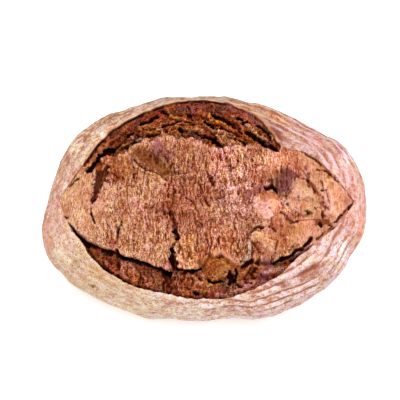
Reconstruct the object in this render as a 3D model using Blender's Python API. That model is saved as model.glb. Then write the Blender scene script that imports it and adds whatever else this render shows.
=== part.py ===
"""A buckwheat bread loaf: an oval, flat-bottomed loaf whose floured crust tore open along its top.

The loaf is one solid. Its crust is a dome over an oval outline, with a tucked-in foot. Between the two
lips of the tear stands the raised crumb, with a wide groove behind it and a sloping strip in front.
Lengths are millimetres until the mesh is made, with +X along the loaf, +Y to its back and +Z up.
"""

import itertools
import math

import bpy
import numpy as np

MM = 0.001

# Overall form
HALF_LENGTH = 132.5
HALF_WIDTH = 92.0
OUTLINE_POWER = 2.15  # 2 is an ellipse, and more is squarer
WIDEST_Z = 34.0  # height at which the loaf is widest
DOME_RISE = 60.0  # from there to the top of the crust's dome
DOME_POWER = 2.3
FOOT_WIDTH = 30.0  # half axes of the curve that tucks in below the widest height
FOOT_DEPTH = 38.0

# Where the hand-shaped outline swells or draws in: direction in degrees, how far out, spread in degrees
OUTLINE_SWELLS = (
    (15, 1.0, 12),
    (33, -2.8, 9),
    (45, -4.4, 15),
    (67, -1.4, 10),
    (110, 1.2, 8),
    (168, -6.0, 12),
    (177, -1.6, 8),
    (203, 4.6, 12),
    (245, 1.8, 15),
    (290, -1.4, 12),
    (300, 2.4, 12),
    (342, -2.0, 6),
)

# Edges of the tear and of the raised crumb, from left to right. The crumb's edges start and end past the
# lips, where it joins the crust without a groove.
BACK_LIP = (
    (-116, 1), (-99, 23), (-77, 51), (-47, 71), (-16, 81.5), (11, 81),
    (37, 69), (48, 59), (59, 42), (80, 35), (99.5, 21), (119.5, -1),
)
FRONT_LIP = (
    (-116, 1), (-107, -19), (-88, -47), (-65, -65), (-30, -76), (5, -80),
    (34, -72), (58, -59), (76, -45), (91, -33.5), (105.5, -20.5), (119.5, -1),
)
CRUMB_BACK = (
    (-98, 29), (-91, 19.5), (-79, 30), (-62, 32), (-52, 38), (-38, 42), (-16, 42),
    (10, 35), (28, 36), (44, 36.5), (56, 36), (59.5, 38), (61, 46),
)
CRUMB_FRONT = (
    (-106, -23), (-99, -28), (-94, -32.5), (-88, -37), (-80, -40), (-67, -44), (-54, -48.5), (-38, -54),
    (-28, -57.5), (-20, -57), (-9, -57.5), (-3.5, -56), (1, -49), (10, -46.5), (18, -49),
    (24, -54), (29, -55.5), (36, -52.5), (51, -51.5), (60, -50), (71, -46), (80, -40), (88, -36.5),
)
PAST_LIP = 4.0  # how far past the lip a crumb edge runs where there is no groove

# Heights and depths from the dome
LIP_RISE = 1.6  # how far the crust curls up at the tear, and how far out the curl reaches
LIP_REACH = 7.0
LIP_DROP = 3.0
WALL_WIDTH = 15.0  # the groove's back wall, and its floor in front of it
WALL_DEPTH = 11.0
GROOVE_DEPTH = 17.0
LEDGE_SIZE = (24.0, 9.0)  # the groove's uneven ledges: length, width, height on the wall and on the floor
LEDGE_HEIGHTS = (0.8, 3.4)
STRIP_DEPTH_AT_LIP = 6.0
STRIP_LUMP_SIZE = 6.0
STRIP_LUMP_HEIGHT = 1.2
TRENCH_WIDTH = 2.6  # between the strip and the raised crumb
CRUMB_SWELL = 2.5  # how far the crumb stands over the dome, this far in from the lips
CRUMB_SWELL_REACH = 34.0
CRUMB_WAVE_SIZE = 24.0
CRUMB_WAVE_HEIGHT = 0.8
CRUMB_EDGE_DROP = 1.6
CRUMB_EDGE_REACH = 3.0
CRUMB_BANK = (-2.2, 0.6)  # the crumb's side rises between these distances from its edge
SEAM_DEPTH = 1.6  # crack between crumb and crust where they join without a groove
SEAM_WIDTH = 1.1
LIP_BANK = (-0.4, 0.9)  # the torn surface starts between these distances from the lip
RAGGED_SIZE = 7.0  # how unevenly the edges run
RAGGED_LIP = 0.5
RAGGED_CRUMB = 1.3
RAGGED_MARK = 0.8
STEEPEST_EDGE = 6.0  # square of the steepest slope of an edge that distances allow for

# Along the loaf: how deep the strip lies where it meets the crumb, and how deep the trench there is
STRIP_DEPTHS_AT_CRUMB = ((-100, 14.0), (-12, 14.0), (0, 7.0), (22, 7.0), (32, 10.0), (60, 9.0), (70, 12.0))
TRENCH_DEPTHS = ((-100, 3.5), (-15, 3.5), (-4, 0.5), (2, 0.0), (58, 0.0), (66, 1.5), (95, 1.2))

# Cracks in the crumb: points, half width and depth at the first and at the last point
CRACKS = (
    (((-26, 36), (-25, 10), (-25, -8)), (0.8, 1.0), (1.0, 2.0)),
    (((-25, -8), (-26, -17), (-22, -27), (-24, -41)), (1.2, 2.4), (4.0, 8.0)),
    (((-24, -41), (-25, -47), (-20, -57)), (2.6, 3.6), (8.0, 12.0)),
    (((-75, 24), (-84, 7), (-88, -6)), (3.6, 1.6), (7.0, 4.0)),
    (((-88, -15), (-85, -24)), (1.4, 1.2), (3.5, 3.0)),
    (((-63, -22), (-67, -32), (-65, -48)), (0.8, 1.8), (2.5, 6.0)),
    (((-67, -47), (-65, -64)), (2.2, 1.8), (7.0, 5.0)),
    (((55, -27), (55, -36), (52, -50)), (1.0, 2.2), (3.0, 7.0)),
    (((36, -28), (41, -24), (46, -28)), (1.4, 1.4), (4.5, 4.0)),
    (((33, -35), (41, -41), (43, -47)), (1.2, 2.0), (3.5, 5.0)),
    (((105, -18), (119, -2)), (1.0, 0.8), (1.6, 1.2)),
    (((91, 12), (94, 5), (97, -10)), (1.0, 1.0), (2.0, 2.5)),
)
# Steps in the crumb: points with the low ground on their left, drop, and how far the low ground reaches
STEPS = (
    (((-58, 31), (-50, 21), (-33, 14), (-24, 14)), 3.4, 20.0),
    (((86, 4), (77, 13), (73, 24), (73, 31)), 2.2, 9.0),
    (((-19, -77), (-23, -55)), 3.0, 14.0),
)
# Hollows: centre, half sizes, turn in degrees, depth
HOLLOWS = (
    ((75, -2), (18, 12), -25, 4.0),
    ((52, 3), (4.0, 4.5), 30, 6.0),
    ((-86, 25), (9.0, 4.0), 48, 7.0),
    ((30, 45), (8.0, 3.4), -20, 6.0),
    ((53, 41), (7.0, 3.4), -40, 6.0),
    ((10, 44), (4.0, 3.0), -20, 5.0),
    ((-39, 67), (4.0, 2.6), 20, 4.0),
    ((-48, 61), (4.0, 2.0), 20, 4.0),
    ((15, 57), (8.0, 2.0), -10, 4.0),
    ((21, -62), (4.4, 4.0), 0, 8.0),
    ((8, -67), (5.0, 2.4), 0, 5.0),
    ((66, -19), (4.0, 2.0), -30, 2.5),
    ((79, -15), (5.0, 2.2), 20, 2.5),
    ((91, -24), (4.0, 2.4), 35, 2.5),
)
# Lumps: centre, half sizes, turn in degrees, height
LUMPS = (
    ((10, -54), (16, 11), 0, 6.0),
    ((38, -58), (10, 7), 20, 5.0),
    ((-10, -69), (8, 8), 0, 4.0),
    ((50, -57), (11, 6), 0, 5.0),
    ((46, -38), (9, 8), -30, 2.0),
    ((62, 6), (8, 9), 0, 4.0),
    ((-54, 50), (8, 4), 15, 3.0),
    ((14, 51), (7, 4), -20, 5.0),
)

# Resolution
RASTER_STEP = 0.6
RASTER_MARGIN = 12.0
CAP_CELLS = 164
CAP_SHARE = 0.94  # of the way from the middle to the outline
SIDE_AROUND = 82
SIDE_ROWS = 10
FOOT_ROWS = 5
TORN_SHARES = (0.93, 0.975)  # the torn top fades out between these
TRIANGLES = 10600
FINEST_FORM = 1.1  # forms narrower than about twice this are left to the crumb's texture
EDGE_BLUR = 3.2
OVERHANG = 0.16
KEEP_SIDES = 1000.0  # how much dearer it is to thin out the sides than the top

HASH_PRIMES = (374761393, 668265263, 2246822519)
HASH_MASK = 0xFFFFFFFF


def noise(seed, *axes):
    """Smooth noise from -1 to 1, with one array for each axis and cells 1 wide."""
    cells = [np.floor(axis).astype(np.int64) for axis in axes]
    fades = []
    for axis, cell in zip(axes, cells):
        part = axis - cell
        fades.append(part**3 * (part * (part * 6 - 15) + 10))
    total = 0.0
    for corner in itertools.product((0, 1), repeat=len(axes)):
        key = np.int64(seed * 1013904223 & HASH_MASK)
        weight = 1.0
        for cell, fade, step, prime in zip(cells, fades, corner, HASH_PRIMES):
            key = (key + (cell + step) * prime) & HASH_MASK
            weight = weight * (fade if step else 1 - fade)
        key = ((key ^ (key >> 15)) * 739982445) & HASH_MASK
        key = ((key ^ (key >> 12)) * 695872825) & HASH_MASK
        total = total + weight * ((key ^ (key >> 15)) / (HASH_MASK / 2) - 1)
    return total


def layered(seed, size, octaves, *axes):
    """Noise whose largest forms are size wide, with each octave half as wide and half as strong."""
    total = 0.0
    for octave in range(octaves):
        total = total + noise(seed + octave, *(axis / size * 2**octave for axis in axes)) / 2**octave
    return total


def smooth(low, high, value):
    """0 below low, 1 above high, and a smooth ramp between them."""
    share = np.clip((value - low) / (high - low), 0, 1)
    return share * share * (3 - 2 * share)


def curve(points, x):
    """A smooth curve y(x) through points that run from left to right."""
    knots = np.array(points, float)
    slopes = np.gradient(knots[:, 1], knots[:, 0])
    inside = np.clip(x, knots[0, 0], knots[-1, 0])
    index = np.clip(np.searchsorted(knots[:, 0], inside) - 1, 0, len(knots) - 2)
    span = knots[index + 1, 0] - knots[index, 0]
    share = (inside - knots[index, 0]) / span
    rise = knots[index + 1, 1] - knots[index, 1]
    start = slopes[index] * span - rise
    end = rise - slopes[index + 1] * span
    return knots[index, 1] + share * rise + share * (1 - share) * ((1 - share) * start + share * end)


def below(edge_y, x, y):
    """How far a point lies in front of an edge y(x), measured across the edge."""
    slope = np.gradient(edge_y, x[0], axis=1)
    return (edge_y - y) / np.sqrt(1 + np.minimum(slope**2, STEEPEST_EDGE))


def stroke(points, x, y):
    """Distance to a line of points, the share along it, and the signed distance, plus on its left."""
    knots = np.array(points, float)
    steps = np.diff(knots, axis=0)
    lengths = np.hypot(steps[:, 0], steps[:, 1])
    done = np.concatenate([[0], np.cumsum(lengths)])
    best = np.full(x.shape, np.inf)
    along = np.zeros(x.shape)
    signed = np.zeros(x.shape)
    for knot, step, length, start in zip(knots, steps, lengths, done):
        dx = x - knot[0]
        dy = y - knot[1]
        share = np.clip((dx * step[0] + dy * step[1]) / length**2, 0, 1)
        distance = np.hypot(dx - share * step[0], dy - share * step[1])
        side = np.sign(step[0] * dy - step[1] * dx)
        nearer = distance < best
        best = np.where(nearer, distance, best)
        along = np.where(nearer, (start + share * length) / done[-1], along)
        signed = np.where(nearer, distance * side, signed)
    return best, along, signed


def oval(centre, half_sizes, turn, x, y):
    """0 at the middle of a turned oval, and 1 at its edge."""
    angle = math.radians(turn)
    dx = x - centre[0]
    dy = y - centre[1]
    across = dx * math.cos(angle) + dy * math.sin(angle)
    up = dy * math.cos(angle) - dx * math.sin(angle)
    return np.hypot(across / half_sizes[0], up / half_sizes[1])


def outline(angle):
    """Distance from the middle to the outline, seen from above."""
    radius = (
        np.abs(np.cos(angle) / HALF_LENGTH) ** OUTLINE_POWER
        + np.abs(np.sin(angle) / HALF_WIDTH) ** OUTLINE_POWER
    ) ** (-1 / OUTLINE_POWER)
    for direction, out, spread in OUTLINE_SWELLS:
        turn = (np.degrees(angle) - direction + 180) % 360 - 180
        radius = radius + out * np.exp(-((turn / spread) ** 2))
    return radius


def dome(share):
    """Height of the crust, share of the way from the middle to the outline."""
    return WIDEST_Z + DOME_RISE * np.maximum(1 - share**DOME_POWER, 0) ** (1 / DOME_POWER)


def groove(from_back_lip, x, y):
    """Height of the groove's back wall and floor."""
    wall = smooth(0, WALL_WIDTH, from_back_lip)
    floor = smooth(0.8 * WALL_WIDTH, 1.6 * WALL_WIDTH, from_back_lip)
    ledges = layered(23, 1.0, 3, x / LEDGE_SIZE[0], y / LEDGE_SIZE[1])
    ledge_height = LEDGE_HEIGHTS[0] + (LEDGE_HEIGHTS[1] - LEDGE_HEIGHTS[0]) * floor
    depth = LIP_DROP + (WALL_DEPTH - LIP_DROP) * wall + (GROOVE_DEPTH - WALL_DEPTH) * floor
    return ledge_height * ledges - depth


def strip(from_front_lip, in_from_front, x, y):
    """Height of the strip that slopes from the front lip down to the trench before the crumb."""
    to_crumb = np.clip(from_front_lip / np.maximum(from_front_lip - in_from_front, 1.0), 0, 1)
    depth = STRIP_DEPTH_AT_LIP + (np.interp(x, *zip(*STRIP_DEPTHS_AT_CRUMB)) - STRIP_DEPTH_AT_LIP) * to_crumb
    trench = np.interp(x, *zip(*TRENCH_DEPTHS)) * np.exp(-((in_from_front / TRENCH_WIDTH) ** 2))
    return STRIP_LUMP_HEIGHT * layered(31, STRIP_LUMP_SIZE, 3, x, y) - depth - trench


def raised_crumb(from_lip, inside, x, y):
    """Height of the raised crumb, which sinks to a thin crack where it meets a lip."""
    swell = CRUMB_SWELL * smooth(0, CRUMB_SWELL_REACH, from_lip)
    wave = CRUMB_WAVE_HEIGHT * layered(41, CRUMB_WAVE_SIZE, 3, x, y)
    rounded = CRUMB_EDGE_DROP * np.exp(-np.maximum(inside, 0) / CRUMB_EDGE_REACH) * smooth(1, 6, from_lip)
    seam = SEAM_DEPTH * np.exp(-((from_lip / SEAM_WIDTH) ** 2)) * smooth(0.5, 2.5, inside)
    return (swell + wave - rounded) * smooth(0, 8, from_lip) - seam


def broken(height, ragged, x, y):
    """The height with the cracks, steps, hollows and lumps."""
    uneven_x = x + RAGGED_MARK * ragged
    uneven_y = y + RAGGED_MARK * ragged
    for points, widths, depths in CRACKS:
        distance, along, _ = stroke(points, uneven_x, uneven_y)
        width = widths[0] + (widths[1] - widths[0]) * along
        depth = depths[0] + (depths[1] - depths[0]) * along
        height = height - depth * np.exp(-((distance / width) ** 2))
    for points, drop, reach in STEPS:
        distance, _, signed = stroke(points, uneven_x, uneven_y)
        height = height - drop * smooth(-1.2, 1.2, signed) * (1 - smooth(0, 1, distance / reach))
    for centre, half_sizes, turn, depth in HOLLOWS:
        near = oval(centre, half_sizes, turn, x, y) + 0.12 * ragged
        height = height - depth * (1 - smooth(0.55, 1.1, near))
    for centre, half_sizes, turn, rise in LUMPS:
        near = oval(centre, half_sizes, turn, x, y) + 0.12 * ragged
        height = height + rise * (1 - smooth(0.3, 1.1, near))
    return height


def relief(x, y):
    """Height of the torn top over the dome, on a raster of points."""
    ragged = layered(11, RAGGED_SIZE, 3, x, y)
    back_lip = curve(BACK_LIP, x)
    front_lip = curve(FRONT_LIP, x)
    no_back_edge = (x < CRUMB_BACK[0][0]) | (x > CRUMB_BACK[-1][0])
    no_front_edge = (x < CRUMB_FRONT[0][0]) | (x > CRUMB_FRONT[-1][0])
    crumb_back = np.where(no_back_edge, back_lip + PAST_LIP, curve(CRUMB_BACK, x))
    crumb_front = np.where(no_front_edge, front_lip - PAST_LIP, curve(CRUMB_FRONT, x))
    from_back_lip = below(back_lip, x, y) + RAGGED_LIP * ragged
    from_front_lip = -below(front_lip, x, y) + RAGGED_LIP * ragged
    from_lip = np.minimum(from_back_lip, from_front_lip)
    in_from_back = below(crumb_back, x, y) + RAGGED_CRUMB * ragged
    in_from_front = -below(crumb_front, x, y) + RAGGED_CRUMB * ragged
    inside = np.minimum(in_from_back, in_from_front)

    low_back = groove(from_back_lip, x, y)
    low_front = strip(from_front_lip, in_from_front, x, y)
    height = np.where(y > (crumb_back + crumb_front) / 2, low_back, low_front)
    height = height + (raised_crumb(from_lip, inside, x, y) - height) * smooth(*CRUMB_BANK, inside)
    height = broken(height, ragged, x, y)

    opening = smooth(*LIP_BANK, from_lip)
    curl = np.exp(-((np.minimum(from_lip, 0) / LIP_REACH) ** 2))
    lip = LIP_RISE * curl * smooth(3, -2, inside)
    return height * opening + lip * (1 - opening)


def blurred(raster, width):
    """The raster smoothed by a bell curve width wide."""
    rows, columns = (np.fft.fftfreq(count, RASTER_STEP) for count in raster.shape)
    pass_share = np.exp(-2 * (math.pi * width) ** 2 * (rows[:, None] ** 2 + columns[None, :] ** 2))
    return np.fft.ifft2(np.fft.fft2(raster) * pass_share).real


def torn_top():
    """The raster's axes, the sideways shifts that make edges overhang, and the height over the dome."""
    x = np.arange(-HALF_LENGTH - RASTER_MARGIN, HALF_LENGTH + RASTER_MARGIN, RASTER_STEP)
    y = np.arange(-HALF_WIDTH - RASTER_MARGIN, HALF_WIDTH + RASTER_MARGIN, RASTER_STEP)
    height = blurred(relief(*np.meshgrid(x, y)), FINEST_FORM)
    soft = blurred(height, EDGE_BLUR)
    slope_y, slope_x = np.gradient(soft, RASTER_STEP)
    proud = height - soft
    return x, y, (-OVERHANG * proud * slope_x, -OVERHANG * proud * slope_y, height)


def sampled(axes_x, axes_y, raster, x, y):
    """The raster read at any points, in straight lines between its own."""
    column = np.clip((x - axes_x[0]) / RASTER_STEP, 0, len(axes_x) - 1.001)
    row = np.clip((y - axes_y[0]) / RASTER_STEP, 0, len(axes_y) - 1.001)
    left = column.astype(int)
    low = row.astype(int)
    right_share = column - left
    high_share = row - low
    front = raster[low, left] * (1 - right_share) + raster[low, left + 1] * right_share
    back = raster[low + 1, left] * (1 - right_share) + raster[low + 1, left + 1] * right_share
    return front * (1 - high_share) + back * high_share


def cap_grid():
    """A square grid bent into a disc: angle and share of the way out, for each of its points."""
    steps = np.linspace(-1, 1, CAP_CELLS + 1)
    a, b = np.meshgrid(steps, steps)
    sideways = np.abs(a) >= np.abs(b)
    major = np.where(sideways, a, b)
    ratio = np.where(sideways, b, a) / np.where(major == 0, 1, major)
    angle = np.where(sideways, ratio * math.pi / 4, math.pi / 2 - ratio * math.pi / 4)
    angle = angle + np.where(major < 0, math.pi, 0)
    return angle, np.abs(major) * CAP_SHARE


def side_profile():
    """Rows from the cap's edge down to the base: share of the outline, inset, and height."""
    turn = np.linspace(0, 1, 400)
    start = math.asin(CAP_SHARE ** (DOME_POWER / 2))
    share = np.sin(start + (math.pi / 2 - start) * turn) ** (2 / DOME_POWER)
    run = np.hypot(np.diff(share) * HALF_WIDTH, np.diff(dome(share)))
    length = np.concatenate([[0], np.cumsum(run)])
    upper = np.interp(np.linspace(0, length[-1], SIDE_ROWS + 1)[1:], length, share)
    foot_turn = np.linspace(0, math.asin(WIDEST_Z / FOOT_DEPTH), FOOT_ROWS + 1)[1:]
    inset = FOOT_WIDTH * (1 - np.cos(foot_turn))
    low = WIDEST_Z - FOOT_DEPTH * np.sin(foot_turn)
    low[-1] = 0.0
    rows = [(value, 0.0, z) for value, z in zip(upper, dome(upper))]
    return rows + [(1.0, value, z) for value, z in zip(inset, low)]


def stitched(high, low):
    """Faces between a ring of points and the ring below it, which has as many points or half as many."""
    count = len(low)
    if len(high) == count:
        return [(high[k], low[k], low[(k + 1) % count], high[(k + 1) % count]) for k in range(count)]
    faces = []
    for k in range(count):
        first, middle, last = high[2 * k], high[2 * k + 1], high[(2 * k + 2) % len(high)]
        under, after = low[k], low[(k + 1) % count]
        faces += [(first, under, middle), (middle, under, after), (middle, after, last)]
    return faces


def loaf_points():
    """Angle, share of the outline, inset and height of every point, and the faces between the points."""
    angle, share = cap_grid()
    side = CAP_CELLS + 1
    index = np.arange(side * side).reshape(side, side)
    faces = [
        (index[i, j], index[i, j + 1], index[i + 1, j + 1], index[i + 1, j])
        for i in range(CAP_CELLS)
        for j in range(CAP_CELLS)
    ]
    columns = [[angle.ravel()], [share.ravel()], [np.zeros(side * side)], [dome(share.ravel())]]
    ring = np.concatenate([index[0, :-1], index[:-1, -1], index[-1, :0:-1], index[:0:-1, 0]])
    ring_angle = angle.ravel()[ring]
    count = side * side
    for row in side_profile():
        if len(ring_angle) > SIDE_AROUND:
            ring_angle = ring_angle[::2]
        low = count + np.arange(len(ring_angle))
        faces += stitched(ring, low)
        for column, value in zip(columns, (ring_angle, *row)):
            column.append(np.broadcast_to(value, ring_angle.shape))
        ring = low
        count += len(low)
    faces.append(tuple(ring[::-1]))
    return [np.concatenate(column) for column in columns], faces


def loaf_surface():
    """The whole loaf's surface, before its top is thinned out, as an object that isn't kept."""
    (angle, share, inset, z), faces = loaf_points()
    radius = outline(angle) * share - inset
    x = radius * np.cos(angle)
    y = radius * np.sin(angle)
    axes_x, axes_y, rasters = torn_top()
    shift_x, shift_y, height = (sampled(axes_x, axes_y, raster, x, y) for raster in rasters)
    torn = 1 - smooth(*TORN_SHARES, share)
    points = np.column_stack([x + shift_x * torn, y + shift_y * torn, z + height * torn])
    points[:, :2] -= (points[:, :2].min(axis=0) + points[:, :2].max(axis=0)) / 2
    mesh = bpy.data.meshes.new("surface")
    mesh.from_pydata((points * MM).tolist(), [], [[int(point) for point in face] for face in faces])
    surface = bpy.data.objects.new("surface", mesh)
    bpy.context.collection.objects.link(surface)
    sides = surface.vertex_groups.new(name="sides")
    sides.add(np.flatnonzero(share > CAP_SHARE).tolist(), 1.0, "REPLACE")
    return surface


def loaf_mesh():
    """The loaf's mesh, with triangles spent where the torn top needs them."""
    surface = loaf_surface()
    count = sum(len(face.vertices) - 2 for face in surface.data.polygons)
    thin = surface.modifiers.new("Thin", "DECIMATE")
    thin.ratio = TRIANGLES / count
    thin.use_collapse_triangulate = True
    thin.vertex_group = "sides"
    thin.invert_vertex_group = True
    thin.vertex_group_factor = KEEP_SIDES
    evaluated = surface.evaluated_get(bpy.context.evaluated_depsgraph_get())
    mesh = bpy.data.meshes.new_from_object(evaluated)
    bpy.data.objects.remove(surface)
    mesh.name = "loaf"
    return mesh


def crust_material():
    """A matt, floured crust."""
    material = bpy.data.materials.new("floured crust")
    material.use_nodes = True
    shader = material.node_tree.nodes["Principled BSDF"]
    shader.inputs["Base Color"].default_value = (0.55, 0.32, 0.2, 1)
    shader.inputs["Roughness"].default_value = 0.85
    shader.inputs["Metallic"].default_value = 0.0
    return material


def main():
    """The loaf alone in an empty scene."""
    for item in list(bpy.data.objects):
        bpy.data.objects.remove(item)
    mesh = loaf_mesh()
    mesh.shade_smooth()
    mesh.materials.append(crust_material())
    loaf = bpy.data.objects.new("loaf", mesh)
    bpy.context.collection.objects.link(loaf)


main()
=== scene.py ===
"""Looks of the buckwheat bread loaf: its floured crust with the torn, craggy crumb on top.

The form follows the same named sizes as the solid: a dome over a hand-shaped oval, two lips, a wide
groove behind the raised crumb and a sloping strip in front of it. Onto that come the crumb's fibres,
flakes and pits, the crust's rings, and a colour for each region. Lengths are millimetres until the mesh
is made, with +X along the loaf, +Y to its back and +Z up.
"""

import itertools
import math
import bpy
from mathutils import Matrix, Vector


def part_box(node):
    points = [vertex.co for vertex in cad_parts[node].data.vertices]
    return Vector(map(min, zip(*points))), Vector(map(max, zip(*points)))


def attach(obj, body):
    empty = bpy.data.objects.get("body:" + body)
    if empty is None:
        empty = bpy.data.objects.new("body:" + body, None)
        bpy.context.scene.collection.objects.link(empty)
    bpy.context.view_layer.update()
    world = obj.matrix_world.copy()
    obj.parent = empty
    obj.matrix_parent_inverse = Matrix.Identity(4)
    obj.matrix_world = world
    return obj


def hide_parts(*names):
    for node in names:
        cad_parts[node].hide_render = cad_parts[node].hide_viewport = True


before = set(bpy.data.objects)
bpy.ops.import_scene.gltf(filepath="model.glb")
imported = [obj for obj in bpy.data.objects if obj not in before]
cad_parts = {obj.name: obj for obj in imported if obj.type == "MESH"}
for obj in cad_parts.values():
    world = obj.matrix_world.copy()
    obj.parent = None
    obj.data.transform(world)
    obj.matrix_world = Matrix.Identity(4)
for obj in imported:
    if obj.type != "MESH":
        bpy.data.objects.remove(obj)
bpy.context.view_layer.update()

from types import SimpleNamespace

import bpy
import numpy as np
from mathutils import Vector

MM = 0.001

# Overall form
HALF_LENGTH = 132.5
HALF_WIDTH = 92.0
OUTLINE_POWER = 2.15
WIDEST_Z = 34.0
DOME_RISE = 60.0
DOME_POWER = 2.3
FOOT_WIDTH = 30.0
FOOT_DEPTH = 38.0

# Where the outline swells or draws in: direction in degrees, how far out, spread in degrees
OUTLINE_SWELLS = (
    (15, 1.0, 12),
    (33, -2.8, 9),
    (45, -4.4, 15),
    (67, -1.4, 10),
    (110, 1.2, 8),
    (168, -6.0, 12),
    (177, -1.6, 8),
    (203, 4.6, 12),
    (245, 1.8, 15),
    (290, -1.4, 12),
    (300, 2.4, 12),
    (342, -3.6, 6),
    (15, -1.4, 6),
    (36, -1.2, 6),
    (66, -1.0, 8),
    (122, -1.4, 12),
    (180, -1.6, 4),
    (205, -2.4, 4),
    (252, -1.6, 5),
    (284, -1.6, 6),
    (304, -1.0, 8),
)

# Edges of the tear and of the raised crumb, from left to right
BACK_LIP = (
    (-116, 1), (-99, 23), (-77, 51), (-47, 71), (-16, 81.5), (11, 81),
    (37, 69), (48, 59), (59, 42), (80, 35), (99.5, 21), (119.5, -1),
)
FRONT_LIP = (
    (-116, 1), (-107, -20), (-100, -31.5), (-94, -39.5), (-83, -53), (-65, -65.5), (-30, -76),
    (5, -80), (34, -74), (58, -61.5), (76, -45.5), (91, -33.5), (105.5, -20.5), (119.5, -1),
)
CRUMB_BACK = (
    (-98, 29), (-91, 19.5), (-79, 30), (-62, 32), (-52, 38), (-38, 42), (-16, 42),
    (10, 35), (28, 36), (44, 36.5), (56, 36), (59.5, 38), (61, 46),
)
CRUMB_FRONT = (
    (-106, -23), (-99, -27), (-94, -30.5), (-88, -34.5), (-80, -38.5), (-67, -43.5), (-54, -48.5), (-38, -54),
    (-28, -57.5), (-20, -57), (-9, -57.5), (-3, -56), (0, -52), (3, -47.5), (8, -49), (13, -46.5), (18, -50),
    (24, -54), (29, -55.5), (36, -52.5), (51, -51.5), (60, -50), (71, -46), (80, -40), (88, -36.5),
)
PAST_LIP = 4.0
STEEPEST_EDGE = 6.0
# How much the ragged and the bent noise move the lips and the crumb's edges
LIP_RAGGED = 0.5
BACK_EDGE_BENT = 0.9
BACK_EDGE_RAGGED = 0.4
FRONT_EDGE_BENT = 0.6
FRONT_EDGE_RAGGED = 0.12

# Depths below the dome
LIP_RISE = 1.6
LIP_WIDTH = 7.0
LIP_DROP = 3.0
WALL_WIDTH = 15.0
WALL_DEPTH = 11.0
GROOVE_DEPTH = 17.0
STRIP_DEPTH_AT_LIP = 6.0
CRUMB_SWELL = 2.5
EDGE_DROP = 1.6
EDGE_REACH = 3.0
# How deep the strip lies where it meets the crumb, along the loaf: x and depth
STRIP_DEPTHS_AT_CRUMB = (
    (-104, 4.0), (-90, 7.0), (-70, 12.0), (-12, 13.0), (0, 4.5), (22, 4.5), (32, 9.0), (60, 9.0), (70, 12.0),
)
# How deep the trench between the strip and the crumb is, in the same way
TRENCH = (
    (-100, 1.0), (-74, 1.4), (-66, 3.0), (-15, 3.2), (-4, 0.5), (2, 0.0), (58, 0.0), (66, 1.5), (95, 1.2),
)
TRENCH_WIDTH = 2.0
SEAM_DEPTH = 1.8
SEAM_WIDTH = 0.8
# The painted shadow line just inside the lips, also cut a little into the surface: how strong it is along the
# back lip and along the front one
BACK_LINE = ((-110, 0.9), (0, 0.7), (30, 0.3))
FRONT_LINE = ((-108, 0.0), (-100, 1.0), (-20, 1.0), (0, 0.5), (20, 0.0), (80, 0.0), (100, 0.5))
BACK_LINE_INSIDE = 1.2
FRONT_LINE_INSIDE = 2.2
LINE_WIDTH = 0.8
LINE_DEPTH = 2.0
# The shade on the low ground beside the raised crumb, and its share behind the crumb
SHADE_UNDER_CRUMB = 0.25
SHADE_REACH = 1.8
SHADE_BEHIND = 0.4

# Colours as red, green and blue from 0 to 255
CRUMB = (192, 128, 96)
WALL = (126, 62, 40)
FLOOR = (146, 82, 44)
STRIP = (150, 82, 52)
# Painted shade: near-black in holes and in the line inside the lips, dark brown in cracks, softer browns
# round cracks and holes, and dark red in the hollows
SHADOW_BLACK = (48, 11, 3)
CRACK_SHADE = (92, 30, 4)
CRACK_SHADE_FRINGE = (138, 72, 36)
HOLE_SHADE_FRINGE = (100, 44, 16)
CAVITY_SHADE = (72, 22, 5)
OCHRE = (214, 130, 66)
RUST = (168, 84, 46)
BROWN = (160, 94, 56)
TAN = (206, 138, 90)
SAND = (220, 164, 122)
PEACH = (226, 166, 132)
SANDY = (216, 150, 102)
OLIVELIGHT = (178, 106, 52)
# Painted shade in the dark wedge and in a deep crevice of the strip
WEDGE_SHADE = (68, 17, 3)
CREAMTAN = (208, 154, 122)
CREAM = (236, 194, 154)
PINK = (230, 176, 164)
SALMON = (214, 134, 104)
MAUVE = (202, 138, 126)
MAUVEDARK = (152, 88, 84)
PLUM = (122, 68, 66)
OLIVE = (134, 76, 42)
# Painted shade beside edges, under flaps and in hollows: this dark umber and the dark rust below
UMBER_SHADE = (116, 62, 34)
RUST_SHADE = (136, 70, 44)
ASH = (190, 164, 140)
ASHBROWN = (116, 76, 60)
RIM = (216, 160, 116)
SPECK = (120, 78, 62)

# Steps in the crumb: points with the low ground on their left, drop, and how far the low ground reaches
STEPS = (
    (((-58, 31), (-50, 21), (-33, 14), (-24, 14)), 3.0, 20.0),
    (((86, 4), (77, 13), (73, 24), (73, 31)), 2.0, 9.0),
    (((-19, -77), (-23, -55)), 3.0, 14.0),
)
# Lumps: centre, half sizes, turn in degrees, height
LUMPS = (
    ((12, -54), (19, 11), 0, 3.5),
    ((38, -58), (10, 7), 20, 4.0),
    ((-10, -69), (8, 8), 0, 3.0),
    ((50, -57), (11, 6), 0, 5.0),
    ((46, -38), (9, 8), -30, 1.5),
    ((62, 6), (8, 9), 0, 3.0),
    ((-54, 50), (8, 4), 15, 3.0),
    ((14, 51), (7, 4), -20, 4.0),
)
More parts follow.
